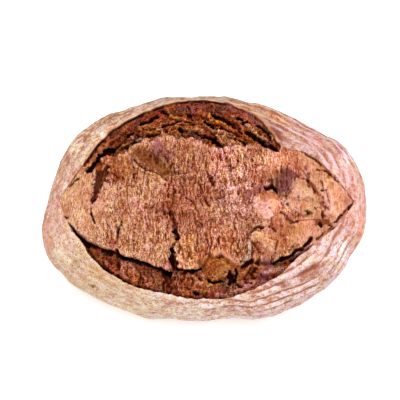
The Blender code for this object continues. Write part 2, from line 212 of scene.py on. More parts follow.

# Openings in the torn top, in pixels of the photo: the x and y of each point, half width at the first and
# last point or one for both, and height in millimetres. They are cut in and painted near-black inside with a
# brown fringe, as painted shade
HOLES = (
    ((79, 238.6, 86, 248.8, 93, 256.2, 100, 264.8), 1.2, -2.5),
    ((100, 264.8, 107, 269.6, 118, 275.9, 125, 280.6), (1.2, 1.1), -2.5),
    ((174.5, 231, 177, 234, 178, 237), (2, 2.4), -6),
    ((243, 266, 248, 263, 252, 261), (2.2, 2.4), -5),
    ((124, 257, 131, 258.5, 138, 260), (2.4, 1.5), -7),
    ((138, 260, 147, 263, 156, 266.5), 1.4, -7),
    ((156, 266.5, 163, 269, 170, 273), (1.5, 2.6), -8),
    ((177, 268, 186, 270, 195, 271, 201, 269), (1.6, 1), -7),
    ((208, 279.5, 214, 282, 221, 282), (1.2, 1.6), -4),
    ((266, 187.5, 271, 187, 275, 188.5), (1.2, 2.2), -4),
    ((272.5, 184, 275, 189, 277.5, 192), (1.2, 0.9), -2.6),
    ((89, 171, 93, 166, 98, 160.5, 103, 155.5), (3, 4.4), -7),
    ((101, 157, 106, 152.5, 112, 150), (4.4, 3.2), -7),
    ((111, 150.5, 116, 148.5, 121, 145), (1.3, 0.8), -5),
    ((141, 125, 145, 123, 151, 121), (1.5, 1.2), -5),
    ((151.5, 119.5, 157, 117), (1.6, 1.9), -6),
    ((162, 127, 166, 126), 1.5, -5),
    ((168, 125, 175, 123.5, 181, 121.5), (1.2, 1), -4),
    ((185, 123, 192, 123), 0.9, -3),
    ((163, 112, 168, 115), 1.8, -4),
    ((188, 106, 189, 108.5), 1.4, -3),
    ((189, 116, 191, 117), 1.6, -3),
    ((179, 129.5, 181, 131), 1.8, -5),
    ((181, 134, 184, 138), 1, -3),
    ((206, 103, 206.5, 103), 1.5, -2.5),
    ((128, 137, 134, 133), (1.8, 1), -5),
    ((127, 149, 132, 149.5), 2, -6),
    ((133, 147, 136, 143), 1, -3),
    ((136, 135, 140, 137), 1.2, -3),
    ((149, 137, 154, 136, 160, 133.5), (1.2, 0.8), -4),
    ((196, 133, 203, 138, 206, 139), (1.2, 1.4), -5),
    ((206, 137, 212, 140, 219, 145.5), (2.2, 1.9), -8),
    ((205, 124, 208, 124.5, 213, 127.5), (2.2, 1.6), -7),
    ((213, 128, 222, 129.5, 231, 131.5), (0.8, 0.7), -3),
    ((213, 116, 218, 118), 2, -5),
    ((239, 118, 242, 120), 1.9, -5),
    ((243, 123.5, 247, 122.5), 1.6, -5),
    ((238, 131, 242, 134), 1.2, -3),
    ((246, 133, 251, 136, 256, 138.5), (2, 2.2), -5),
    ((258, 140, 263, 144, 267, 150), (2.1, 1.9), -5.5),
    ((235, 138, 241, 141.5, 248, 145.5), (1.5, 1.3), -7),
    ((257, 126, 262, 129, 268, 133), (1.5, 1.8), -4),
    ((268, 134, 270, 140), 1, -3),
    ((269, 147, 273, 148, 277, 151), (3.4, 1.5), -6),
    ((170, 248, 173, 250), 1.8, -9),
    ((63, 216, 68, 218), (0.9, 0.7), -2),
    ((68, 223.5, 73, 228, 77, 235), (0.9, 1.2), -4),
    ((77, 235, 83, 240, 88, 245), (1.4, 2), -6),
    ((117, 250, 120, 255, 124, 257), (1.6, 2.6), -6),
    ((194, 291.5, 198, 294), 1.4, -5),
    ((209, 281, 214, 283.5, 219, 281.5), 1.2, -5),
    ((230, 275.5, 232, 279.5), (4.6, 5), -9),
    ((236, 270, 237, 275, 236, 280), (1.3, 1.5), -6),
    ((281, 259, 288, 257, 293, 254.5), (2, 1.8), -7),
    ((274, 263, 277, 261, 281, 259), (1, 1.6), -6),
    ((293, 253, 297, 250, 302, 249), (1.5, 2), -6),
    ((304, 246, 308, 243, 312, 238), 1.6, -6),
    ((320, 223, 322, 226), 1.4, -3),
)
# Cracks and shadowed steps, in the same way. All but the deepest are softened to a share of their height
CRACK_SHARE = 0.75
DEEPEST_SOFTENED = -5
CRACKS = (
    ((92, 213, 93.5, 218, 94.5, 222), (1.1, 0.9), -2.5),
    ((84, 241, 91, 245.5, 100, 250, 111, 255), (1.6, 2), -2.6),
    ((203, 257, 205, 254.5, 211, 254), (0.7, 0.9), -1.6),
    ((217, 257, 219, 258), 1.2, -1.6),
    ((243, 277, 248, 273, 250, 269, 253, 267), (0.9, 0.7), -2.4),
    ((257, 247, 259, 251, 260, 256), (1.6, 1.4), -2.4),
    ((118, 258, 119, 266, 118.5, 275), (2.2, 1.3), -3),
    ((170, 274, 169, 281, 168, 290), (2.4, 1.6), -3),
    ((245, 278, 251, 274, 256, 269), (1.6, 1.9), -3.2),
    ((176, 271, 178, 278, 176, 287), (0.9, 0.8), -2.5),
    ((190, 274, 193, 281, 190, 290), 0.9, -2.5),
    ((181, 280, 187, 282), 0.9, -2),
    ((128, 263, 127, 271, 129, 280), (0.9, 0.8), -2),
    ((137, 267, 135, 275), 0.8, -2),
    ((107, 168, 103, 180, 98, 192, 93, 203), (1.3, 0.9), -2.2),
    ((128, 153, 132, 159, 134, 167, 135, 178), (0.8, 1.1), -2.5),
    ((135, 160, 140, 165.5, 146, 169, 152, 172.5), (1, 1.8), -3.5),
    ((171, 212, 173.5, 221, 176, 229), (2.2, 3.6), -2.6),
    ((176, 236, 174, 243, 171, 249), (1.6, 2), -2.6),
    ((171, 249, 172, 257, 175, 265), (3, 4.2), -10),
    ((302, 151.5, 308, 155, 315, 159, 320, 163.5, 324, 168), (1.2, 2.1), -3),
    ((324, 168, 329, 172.5, 334, 178, 338, 183), (2.1, 1.2), -2.8),
    ((62, 192, 70, 184, 78, 173, 86, 161, 96, 149, 104, 141), (0.7, 0.8), -1.8),
    ((114, 180, 115, 184), 1.1, -3),
    ((119, 184, 120, 188), 1, -3),
    ((122, 177, 124, 179), 1, -2.5),
    ((254, 196, 260, 192, 266, 189), (0.8, 1.2), -2.2),
    ((151, 172, 158, 173.5, 164, 177, 167, 181), (1.2, 0.8), -2),
    ((91, 207, 92, 214), 0.7, -1.5),
    ((150, 155, 156, 161, 163, 168), 1.2, -2),
    ((160, 150, 165, 157, 168, 163), 1, -2),
    ((168, 150, 169, 162, 168, 172), (0.7, 0.8), -1.8),
    ((171, 158, 172, 170, 171, 183), 0.7, -1.8),
    ((165, 163, 165.5, 172), 0.6, -1.5),
    ((144, 207, 152, 208, 160, 211, 169, 213), (1.4, 2), -0.8),
    ((209, 148, 206.5, 156, 206, 168, 208, 176), (0.5, 0.6), -1.4),
    ((208, 176, 211, 181, 213, 186), (0.8, 1.1), -2.4),
    ((222, 152, 227, 158, 229, 166), 0.6, -1.5),
    ((222, 166, 231, 165), 0.6, -1.5),
    ((231, 165, 232, 176, 235, 186), (0.6, 0.7), -1.4),
    ((214, 200, 222, 198, 226, 191, 227, 186), (0.8, 0.7), -2),
    ((186, 178, 193, 180, 199, 184, 203, 190), 0.7, -1.5),
    ((188, 160, 189, 172), 0.6, -1.5),
    ((183, 196, 190, 200, 196, 206, 199, 214), (0.7, 0.9), -1.8),
    ((182, 212, 184, 222), 0.6, -1.5),
    ((198, 222, 204, 226, 209, 230), 0.7, -2),
    ((245, 168, 243, 178, 245, 190), 0.6, -1.5),
    ((262, 157, 263, 168), 0.6, -1.5),
    ((243, 150, 244, 160), (0.5, 0.6), -1.5),
    ((178, 238, 180, 246, 179, 253), (0.8, 1), -2),
    ((186, 245, 188, 255, 187, 262), 0.6, -1.5),
    ((196, 240, 199, 250, 200, 258), (0.9, 1), -2.5),
    ((206, 232, 207, 240, 209, 247), 0.6, -1.5),
    ((219, 236, 221, 248), 0.6, -1.5),
    ((232, 240, 231, 250, 233, 257), 0.7, -1.8),
    ((240, 240, 236, 250, 238, 258), 0.7, -1.8),
    ((112, 172, 117, 177, 123, 178), 1.2, -1.8),
    ((108, 178, 110, 186), 0.7, -1.5),
    ((128, 182, 130, 192), 0.6, -1.5),
    ((140, 185, 141, 196), 0.5, -1.5),
    ((107, 222, 108, 233), 0.6, -1.2),
    ((133, 240, 134, 250), 0.5, -1.2),
    ((103, 262, 105, 268), (1.2, 1.4), -3),
    ((140, 262, 141, 272, 140, 281), (1.3, 1.1), -3),
    ((126, 282, 134, 284), 1.2, -2),
    ((150, 272, 153, 279, 152, 286), 0.9, -2),
    ((197, 273, 200, 280, 206, 283), 1, -2.5),
    ((180, 289, 186, 287, 190, 291), 1.2, -3),
    ((338, 183, 343, 188, 348, 193, 352, 199), 0.6, -1.5),
    ((317, 170, 321, 170.5, 325, 171), 1.2, -3),
    ((352, 199, 353.5, 202, 352, 205), (0.8, 1), -2.5),
    ((352, 205, 348.5, 208), (1.4, 2), -3.5),
    ((348.5, 208, 344, 212, 340, 218), (1.3, 1.9), -3),
    ((341, 214, 339, 219, 337, 221.5), (1.3, 1.1), -3.5),
    ((337, 221.5, 333, 223.5, 329, 225), (0.8, 1.1), -3),
    ((332, 226, 328, 230, 322, 235, 317, 239), (1.2, 1.4), -3),
    ((297, 157, 297.5, 164, 301, 170), (0.5, 0.6), -1.4),
    ((302, 170, 306, 175.5, 309, 181, 312, 187, 317, 194), (1.2, 0.8), -1.8),
    ((297, 176.5, 303, 178, 308, 181), 1, -2),
    ((275, 193, 279, 195.5, 285, 196.5, 290, 193.5, 293.5, 187), (0.8, 0.6), -1.6),
    ((277, 170, 277, 192), (0.8, 1), -2.2),
    ((282, 164, 281, 178, 281.5, 188), (0.7, 0.8), -2.2),
    ((287, 165, 286.5, 180, 288, 190), (0.7, 0.8), -2.2),
    ((292, 172, 292, 180), 0.5, -1.5),
    ((296, 174, 295, 181), 0.5, -1.5),
    ((287, 203, 288, 203.5), 0.9, -3),
    ((295, 212, 295.5, 212.5), 0.9, -3),
    ((284, 201, 285, 201), 0.7, -2.5),
    ((299, 214, 303, 216), (1.5, 1.9), -2.6),
    ((303, 216, 308, 215.5, 311, 213), (1.6, 2), -3),
    ((307, 211, 309, 214), 1.5, -4),
    ((315, 207, 317, 211, 319, 212), (0.8, 0.9), -2.5),
    ((281, 211, 286, 216, 290, 221.5, 296, 222.5), (1.5, 2), -2.4),
    ((253, 197, 252, 205, 254, 213), 0.5, -1.5),
    ((269.5, 207, 270.5, 208), 0.8, -2.5),
    ((91, 213, 92.5, 218, 94.5, 224), (1, 0.7), -3),
    ((122, 221, 119.5, 228), (0.5, 1), -3),
    ((119, 229, 117, 235), (1.6, 1.4), -4),
    ((70, 187, 74, 181.5, 78, 178.5), (1.2, 1.4), -3),
    ((58, 199, 60, 209), (0.8, 0.6), -1.5),
    ((106, 134, 112, 136), (2, 1.8), -3),
    ((152, 152, 156, 157, 159, 161), 0.6, -2),
    ((132, 169, 134, 178), 0.8, -2.5),
    ((168.5, 185, 168, 197), 0.8, -2.5),
    ((175, 189, 176, 194), 1.2, -3),
    ((173, 194, 172.5, 206), (1.8, 1.6), -2.4),
    ((172, 208, 170, 214), (1.8, 1.6), -2.4),
    ((212, 177, 213.5, 185), 1.1, -3.5),
    ((206, 170, 211, 178), 0.7, -1.5),
    ((224, 190, 223, 195, 214, 200), (0.8, 0.6), -2),
    ((205.5, 199, 208, 206), 0.8, -2),
    ((230.5, 160, 231, 172), 0.5, -1.5),
    ((231.5, 177, 233.5, 185), 0.8, -2),
    ((200.5, 238, 201.5, 248), 0.7, -2),
    ((212, 241, 211, 248), 0.7, -1.5),
    ((165.5, 233, 166, 240), 0.6, -2),
    ((150, 241, 154, 243), 0.8, -2),
    ((152, 251, 155, 252.5, 157, 256, 155, 259), 0.7, -2),
    ((221, 119, 226, 121, 230, 123), 2.2, -5),
    ((233, 126, 240, 129), 2, -4),
    ((273, 137, 275, 142, 277, 150), 0.9, -2),
    ((321, 180, 323, 184, 324, 188), (0.7, 0.9), -2.5),
    ((322, 191, 324, 190.5), 1.3, -3.5),
    ((326, 190, 328, 196, 329.5, 203), (0.7, 0.6), -1.5),
    ((323, 197, 324, 202), (1.4, 1.2), -3),
    ((325, 205, 329, 210), 0.9, -2),
    ((322, 213, 323, 218), 1.1, -3),
    ((293, 222.5, 302, 220.5, 315, 219.5), (0.7, 0.6), -1.2),
    ((325, 221, 330, 224), (1.8, 1), -3),
    ((329, 231, 333, 228), 1.2, -2.5),
    ((294, 147, 299, 149.5), 1, -1.5),
    ((252, 232, 255, 229, 259, 227.5, 263, 227), (0.8, 1.6), -4),
    ((269, 226, 273, 228, 276, 232), (0.9, 1), -2.5),
    ((277.5, 241, 276, 248, 273.5, 256, 271, 262), (0.7, 1.5), -2.4),
    ((249, 239, 253, 243, 258, 248, 263, 254), (1.2, 1.8), -3),
    ((252, 246, 252, 256), 1, -2),
    ((240, 262, 245, 261, 252, 259), 1, -2),
    ((250, 275, 254, 278), (3, 2.5), -3),
    ((246, 283, 252, 283), 1.2, -3),
    ((237, 285, 241, 287), 2, -4),
    ((178, 297, 190, 298.5, 205, 298.5), 1.5, -2),
    ((125, 282.5, 131, 285, 139, 289, 150, 291.5), 0.9, -2.5),
    ((150, 291.5, 160, 293, 170, 296, 180, 299), 0.8, -2.5),
    ((140, 270, 142, 275), (1.5, 1.3), -2.5),
    ((142, 281, 145, 287), (1.7, 1.3), -3),
    ((187, 282, 190, 286), 1.5, -2),
)
# Flakes and ridges: points, half widths, height, colour
FLAKES = (
    ((247, 139, 253, 143, 260, 147), (2, 1.8), 1.2, OLIVELIGHT),
    ((257, 257, 252, 263, 246, 268), (1.5, 1.1), 1.2, OCHRE),
    ((221, 263, 228, 266, 232, 270), (2.6, 2.2), 0.8, OLIVELIGHT),
    ((196, 270, 201, 274, 204, 279), (1.8, 1.6), 2, SALMON),
    ((184, 269, 190, 273, 196, 279), (1.5, 1.3), 2.2, OCHRE),
    ((140, 268, 143, 277, 148, 285), (1.2, 1), 1.2, MAUVE),
    ((106, 262, 111, 266, 114, 272), (2, 1.8), 1.2, SALMON),
    ((226, 259, 231, 262, 236, 266), (1.8, 1.6), 1.5, RUST),
    ((134, 165, 145, 172, 156, 176, 166, 182), (1.3, 1.1), 0.9, SAND),
    ((118, 149, 125, 145, 133, 141), (1.2, 1.1), 1.5, OLIVELIGHT),
    ((120, 154, 128, 149, 137, 145), (1.2, 1.1), 1.2, OLIVELIGHT),
    ((130, 136, 133, 139), (2.4, 2.2), 2, SANDY),
    ((251, 135, 258, 139, 262, 146), (2, 1.8), 2, SANDY),
    ((184, 124, 194, 127, 204, 127), (1.6, 1.4), 2, OLIVELIGHT),
    ((176, 124, 180, 128), (2, 1.8), 1.5, OCHRE),
    ((196, 114, 203, 112, 209, 114), (1.6, 1.4), 1.2, RUST),
    ((238, 112, 246, 117, 253, 123), (1.6, 1.4), 1.2, RUST),
    ((120, 133, 127, 127, 135, 122), (2, 1.8), 1.2, RUST),
    ((106, 147, 113, 141, 119, 137), (2, 1.8), 1.2, RUST),
    ((148, 171, 153, 174, 159, 178), (1, 0.9), 0.8, OCHRE),
    ((102, 168, 106, 163, 111, 158), (2.2, 2), 1, TAN),
    ((86, 170, 93, 159, 101, 149, 108, 143), (2.6, 2.4), 2.5, TAN),
    ((100, 260, 107, 264, 112, 270), (4.4, 4), 2, RUST),
    ((124, 263, 131, 266, 136, 272), (3.4, 3.2), 1.6, SALMON),
    ((122, 272, 127, 278), (2.2, 2), 1, SALMON),
    ((145, 268, 151, 271), (3, 2.6), 1.2, RUST),
    ((146, 279, 150, 283), (2.4, 2.2), 1, SALMON),
    ((158, 274, 161, 283), 2, 1.2, RUST),
    ((175, 274, 183, 274, 191, 277), (3.2, 3), 3, SALMON),
    ((176, 282, 179, 291), (2.4, 2), 2, SALMON),
    ((186, 283, 194, 286), (2.6, 2.4), 1.8, RUST),
    ((204, 260, 212, 259, 222, 261), 4, 1.2, OLIVELIGHT),
    ((208, 267, 218, 268), (3, 2.6), 0.8, RUST),
    ((183, 242, 185, 252, 188, 262), (4.6, 4.2), 2.2, SANDY),
    ((193, 246, 194, 258), (3, 2.8), 1.5, SANDY),
    ((97, 169, 103, 164, 109, 159), (2, 1.8), 0.5, RUST),
    ((93, 160, 98, 152, 101, 148), (2.2, 2), 0.5, RUST),
    ((103, 145, 112, 140), (3.2, 2.5), 0.8, RUST),
    ((139.5, 128, 142, 132, 149, 133.5, 156, 132), (1.7, 1.8), 2.5, OCHRE),
    ((141, 126.5, 147, 125.5, 153, 128), (1.5, 1.4), 2, OCHRE),
    ((154, 125, 160, 121, 163, 119), (2.3, 2), 1.2, RUST),
    ((157, 130.5, 161, 130), (1.3, 1.2), 1.5, SAND),
    ((162, 132, 165, 135.5), (1.8, 1.6), 1.5, SAND),
    ((167, 136, 169.5, 131, 171, 128), 0.9, 2, OCHRE),
    ((172, 131, 177, 131), (1.6, 1.4), 1.2, OCHRE),
    ((170, 116, 175, 119, 181, 118.5, 188, 120.5, 196, 124), (1.5, 1.7), 2.5, OCHRE),
    ((197, 121, 203, 122), 1.8, 1, OCHRE),
    ((197, 128, 203, 131), (2.2, 2), 0.8, TAN),
    ((209, 117, 214, 121.5, 222, 125, 231, 129.5), (2.4, 2.2), 4, OCHRE),
    ((203, 125, 210, 130, 217, 136.5, 223, 144), (2, 2.4), 4.5, TAN),
    ((217, 132, 224, 133.5, 228, 136), (3, 3.6), 2, SAND),
    ((224, 138, 231, 143, 238, 148), (3.6, 3.2), 2, SANDY),
    ((231, 133, 234, 144, 240, 147), (2.2, 1.6), 1, TAN),
    ((236, 131, 242, 136, 248, 141), (1.8, 1.6), 3, RUST),
    ((246, 124.5, 252, 129, 258, 136, 262, 141), (2, 1.6), 3, TAN),
    ((262, 137, 266, 141), (1.8, 1.6), 2, TAN),
    ((271, 136, 274, 143, 275, 147), (1, 0.9), 1.2, OCHRE),
    ((232.5, 117, 234, 117.5), (1.7, 1.5), 1.5, SAND),
    ((235, 121, 240, 124), (1.7, 1.5), 1.2, RUST),
    ((130, 140, 131, 146), (2.6, 2.4), 1.2, BROWN),
    ((145, 139.5, 149, 139.5), (1.1, 1), 1, SAND),
    ((177, 241, 179, 250, 180, 256), (2.3, 1.5), 1.2, SAND),
    ((131, 157, 134, 165), (1.4, 1.2), 1, PINK),
    ((213, 229.5, 218, 230), (1.1, 1), 1, CREAM),
    ((264, 229, 270, 229), (1.9, 1.7), 1, SALMON),
    ((249, 243, 250, 251, 247, 257, 242, 263), (2.2, 1.5), 1.5, ASH),
    ((244, 244, 245, 254), (1.1, 1), 1, TAN),
    ((252, 262, 256, 266), 1.2, 2.5, OCHRE),
    ((256, 270, 260, 275), (1.1, 1), 2.5, RUST),
    ((195, 283, 203, 284), (2.4, 2), 2, TAN),
    ((182, 284, 187, 279), (2, 1.8), 1.5, OCHRE),
    ((81, 243, 86, 250, 92, 257), 0.9, 1, BROWN),
    ((106, 262, 107, 266), 1, 0.6, SAND),
    ((121.5, 264, 122, 272, 124, 277), (1.8, 1.5), 1.5, SALMON),
    ((135, 266, 142, 266), (1.8, 1.6), 1, BROWN),
    ((160.5, 268, 161, 275), 0.7, 2, OCHRE),
    ((166, 283, 165.5, 292), 0.7, 1.5, RUST),
    ((217, 296, 228, 294.5, 240, 290), (1.6, 2.2), 0.5, MAUVE),
    ((262, 272, 270, 272, 282, 268), (2.4, 2), 0.8, MAUVE),
    ((214, 276, 215, 277), 1.2, 0.5, CREAM),
    ((318, 163, 322, 167), 1.1, 0.5, OCHRE),
    ((138, 141.5, 143, 141.5), (2.7, 2.5), 5, CREAM),
)
# Patches, in the same way. Those in the wedge's colour, the dark umber and the dark rust are painted shade in
# hollows, under flaps and beside edges
PATCHES = (
    ((120.5, 225, 118.5, 230, 117, 237), (1.3, 2), -1.6, RUST_SHADE),
    ((199, 262, 202, 266, 207, 271), (2.6, 2.4), 0, OLIVE),
    ((227, 262, 233, 266), (2.4, 2.2), 0, RUST),
    ((238, 289, 250, 284, 264, 276), (3.2, 3), 0, MAUVE),
    ((254, 243, 257, 249), (2.4, 2), 0.3, OLIVELIGHT),
    ((83, 244.5, 90, 251, 97, 258), (1.8, 2.6), 0.5, RUST_SHADE),
    ((166.5, 275, 168, 284, 168, 294), (5.5, 4.5), -1.2, WEDGE_SHADE),
    # Painted shadow: a dark olive-brown band just above the step's edge
    ((139, 153, 147, 159.5, 157, 166, 167, 174), (5, 6), -0.6, OLIVE),
    ((259, 260, 255, 266, 250, 273), (2.2, 3.6), -2.6, UMBER_SHADE),
    ((267, 262, 268, 270, 262, 280), (4.5, 5.5), 1, MAUVEDARK),
    ((280, 184, 281, 190), 1.4, 0.6, MAUVE),
    ((285.5, 173, 284.5, 179), 1, 0.6, MAUVE),
    ((102, 168, 99.5, 180, 96, 190, 92.5, 202), (9, 2), -2.2, WEDGE_SHADE),
    ((286, 173, 285, 183, 283, 188.5), (5.5, 8.8), 0.8, PLUM),
    ((271, 180, 267, 187), 3, -1.5, UMBER_SHADE),
    ((291, 174, 298, 177), (4, 2.8), 0.3, PLUM),
    ((246, 196, 254, 191, 262, 187), (3.6, 3), 0, MAUVEDARK),
    ((300, 187, 305, 194), (7.5, 9), -2, CREAMTAN),
    ((288, 201, 301, 204, 311, 203), (7.5, 6.5), -2, CREAMTAN),
    ((303, 203, 304, 204), (3, 2.5), 0, SALMON),
    ((297.5, 197.5, 298, 199), 1.4, 0, MAUVEDARK),
    ((305, 179, 313, 187, 320, 196, 323.5, 207, 323, 218), (2.6, 3), -1.2, RUST_SHADE),
    ((307, 168, 309, 176), (2.2, 2), -0.5, PLUM),
    ((318, 222, 323, 221, 328, 223), (3.4, 3.2), -1.2, RUST_SHADE),
    ((329, 182, 337, 196, 338, 208), (6.5, 8.5), 0, PEACH),
    ((259, 203, 266, 210, 268, 215), (6.5, 5.5), 1, PINK),
    ((256, 236, 265, 239, 270, 246), (5, 6), 1.5, SAND),
    ((183, 132, 190, 131, 197, 134), (3, 2.6), -3, ASHBROWN),
    ((157, 146, 163, 152, 171, 156), 4.5, -0.5, MAUVEDARK),
    ((190, 178, 196, 182), 3, -0.5, OLIVE),
    ((202.5, 208, 204, 216), 2, -0.8, RUST),
    ((113, 160, 122, 152, 128, 150), (3.5, 3), 0, OLIVE),
    ((263, 192, 270, 196, 280, 199), 2.5, -1, TAN),
    # Painted soft shadow above the gap below it
    ((290, 250, 298, 244), (2.4, 2.2), -1.5, BROWN),
    ((300, 221, 311, 223), 2.4, 0, SALMON),
    ((248, 150, 255, 144, 258, 141), (2.8, 2.4), 0, TAN),
    ((228, 106, 240, 112, 252, 119, 260, 126), (2.2, 2), 0, MAUVEDARK),
    ((166, 107, 178, 104), (2.3, 2), 0, RUST),
    ((200, 112, 206, 116), (2.6, 2.4), 0.5, RUST),
)

# Noises: seed, size of the largest forms in millimetres, octaves, strength
NOISES = {
    "ragged": (11, 7.0, 5, 1.0),
    "bent": (11, 7.0, 2, 1.0),
    "wander x": (13, 3.0, 2, 0.6),
    "wander y": (17, 3.0, 2, 0.6),
    "gaps": (18, 3.4, 2, 1.0),
    "mark width": (19, 2.2, 2, 0.45),
    "bumps": (20, 2.0, 2, 0.7),
    "line gaps": (21, 5.0, 2, 1.0),
    "strip": (31, 6.0, 5, 1.4),
    "crumb swell": (41, 24.0, 3, 0.8),
    "fibre sway": (57, 30.0, 1, 4.0),
    "fibre wave across": (58, 5.0, 2, 0.5),
    "fibre wave along": (59, 5.0, 2, 0.5),
    "small flakes": (66, 3.6, 2, 0.4),
    "grain": (67, 1.5, 2, 0.3),
    "where creases are": (69, 12.0, 1, 1.0),
    "low lumps": (73, 3.2, 3, 0.9),
    "low grain": (74, 1.5, 2, 0.5),
    "rings wide": (81, 30.0, 1, 0.3),
    "rings narrow": (82, 9.0, 1, 0.12),
    "crust swell": (83, 40.0, 3, 0.7),
    "crust lumps": (86, 11.0, 2, 0.6),
    "crust grain": (87, 6.0, 4, 0.35),
    "crust spots": (88, 5.0, 1, 0.25),
    "loose": (91, 1.2, 2, 0.8),
    "light clouds": (93, 9.0, 2, 0.26),
    "warm": (95, 1.8, 2, 1.0),
    "purple clouds": (97, 14.0, 3, 0.35),
    "purple grain": (99, 1.4, 1, 0.5),
    "low yellow": (101, 5.0, 3, 1.0),
    "low light": (102, 1.8, 2, 0.7),
    "low olive": (103, 3.6, 2, 1.0),
}
# Where the groove's floor begins and is reached, in widths of its wall
FLOOR_RAMP = (0.7, 1.5)
# Ramps from 0 to 1 by how far inside the lips or the raised crumb's edge a point lies
RAISED_RAMP = (-2.2, 0.6)
OPENING_RAMP = (-0.4, 0.9)
SWELL_RAMP = (0, 34)
EDGE_RAMP = (1, 6)
SEAM_RAMP = (0.5, 2.5)
LIP_RAMP = (0, 8)
LIP_RISE_RAMP = (3, -2)
GRAIN_LIP_RAMP = (0, 2.5)
GRAIN_RAMP = (-1, 6)
LOW_GRAIN_RAMP = (0, 2)
# Right of these places the crumb's grain starts nearer its edge
SOONER_RAMP = (-25, -15)
GRAIN_SOONER = 4
# Ramps by a noise's value, then by depth, across a step and by height over the base
LINE_RAMP = (-0.7, -0.1)
GAPS_RAMP = (-0.35, 0.05)
CREASE_RAMP = (-0.3, 0.3)
DASH_RAMP = (-0.3, 0.4)
CAVITY_RAMP = (0.8, 4.0)
STEP_RAMP = (-1.2, 1.2)
BASE_RAMP = (0, 12)
# Where ovals and marks fade, 1 being their edge, how full a mark's core is, and how ragged edges are
UNEVEN_EDGE = (0.7, 1.3)
SMOOTH_EDGE = (0.6, 1.15)
LUMP_EDGE = (0.3, 1.1)
TINT_EDGE = (0.5, 1.25)
CRUST_TINT_EDGE = (0.4, 1.3)
MARK_EDGE = (0.4, 1.25)
CORE_RAMP = (0.4, 1.0)
SMOOTH_RAGGED = 0.1
SPOT_RAGGED = 0.12
STEP_RAGGED = 0.8

# Fine relief: a ridge is given by the height of its crest and how steeply it falls, and FINER says how
# many times narrower and shorter the second set of ridges is
LEDGE_SEEDS = (23, 24)
FIBRE_SEEDS = (61, 62)
FLAKE_SEED = 65
CREASE_SEED = 68
PIT_SEED = 71
LOW_PIT_SEED = 77
DASH_SEED = 85
FIBRE_RIDGE = (0.75, 2.6)
LEDGE_RIDGE = (1.0, 2.2)
FIBRE_WIDTH = 1.4
FIBRE_LENGTH = 9.0
FIBRE_HEIGHT = 0.45
FIBRE_LEAN = 0.35
LEANING_FIBRES = 0.8
LEANING_FINER = (1.6, 1.7)
FLAKE_SIZE = 9.0
FLAKE_HEIGHT = 0.5
FLAKE_STRETCH = 1.6
FLAKE_SHORTER = 0.6
FLAKE_STEPS = 3
FLAKE_EDGE = 0.85
CREASE_WIDTH = 6.0
CREASE_LENGTH = 15.0
CREASE_DEPTH = 1.0
CREASE_SHARPNESS = 0.08
PIT_SPACING = 7.0
PIT_DEPTH = 1.1
PIT_RAGGED = 0.8
PIT_CALM = 0.5
PIT_EDGE = (0.5, 1.2)
# Where a pit lies in its cell and how large it is, as shares of the cell: the least, and what chance adds
PIT_PLACE = (0.15, 0.7)
PIT_SIZE = (0.05, 0.22)
# The low ground's pits, as a share of the crumb's spacing, and how much smooth parts calm its grain
LOW_PITS = 0.6
LOW_CALM = 0.8
LEDGE_WIDTH = 3.4
LEDGE_LENGTH = 10.0
LEDGE_HEIGHT = 2.2
LEDGE_RAGGED = 0.5
LEDGES_ON_WALL = 0.3
SMALL_LEDGES = 0.6
LEDGES_FINER = (2.2, 1.8)
RING_PITCH = 8.0
RING_HEIGHT = 0.8
DASH_LENGTH = 14.0

# Mesh
RASTER_STEP = 0.4
RASTER_MARGIN = 12.0
CAP_CELLS = (508, 344)
CAP_SHARE = 0.94
MERIDIAN_STEPS = 800
SIDE_AROUND = 480
SIDE_ROWS = 46
FOOT_ROWS = 20
TORN_SHARES = (0.93, 0.975)
EDGE_BLUR = 2.6
GRAIN_BLUR = 1.3
OVERHANG = 0.2

# How the torn top's colour follows its grain and relief, with painted highlights on what stands proud and
# painted shade in hollows, creases and cracks, and how much smooth parts calm that
TONE_FROM_HEIGHT = 0.56
TONE_LOOSE = 0.38
TONE_RANGE = (-0.8, 0.5)
TONE_CALM = 0.4
LIGHTEST = 0.25
DARKEN = 1.6
CAVITY_SHARE = 0.85
LOOSE_FIBRES = 0.45
LOOSE_CREASES = 0.8
LOOSE_CALM = 0.75
LOOSE_LONGER = 0.3
SMOOTH_LIFT = 0.04
ROUGH_LIFT = 0.15
DARKEST = 0.9
SHADE_PER_DEPTH = 0.25
# How marks are drawn: strength of the colour, how firm its edge is, and how even the surface becomes
PATCH_LOOK = (0.96, 0.7, 0.9)
FLAKE_LOOK = (0.85, 1.0, 0.0)
CRACK_FRINGE_LOOK = (0.65, 0.5, 0.0)
HOLE_FRINGE_LOOK = (0.85, 0.5, 0.0)
HOLE_LOOK = (0.95, 0.0, 0.0)
# How much the crumb's front edge calms the marks' wandering, and from how near
WANDER_CALM = 0.7
WANDER_CALM_REACH = 4.5
MARK_PAD = 2
# How red, green and blue follow light, warmth and the other changes of tone
TONE_SLOPES = np.array((0.5, 1.0, 1.42))
WARM_SLOPES = np.array((0.03, 0.03, -0.11))
PURPLE_SLOPES = np.array((0.02, -0.2, 0.08))
LOW_SLOPES = np.array((0.36, 0.05, -0.45))
OLIVE_SLOPES = np.array((-0.08, 0.3, -0.4))
# Lightness of the finest grain, by its noise
CRUMB_GRAIN = ((0.3, -3.6), (0.38, -2.0), (0.44, -0.8), (0.5, 0.0), (0.57, 0.19), (0.66, 0.24))
# How much finer the grain is on smooth parts, and how much coarser on the low ground
EVEN_FINENESS = 0.65
LOW_COARSENESS = 0.4

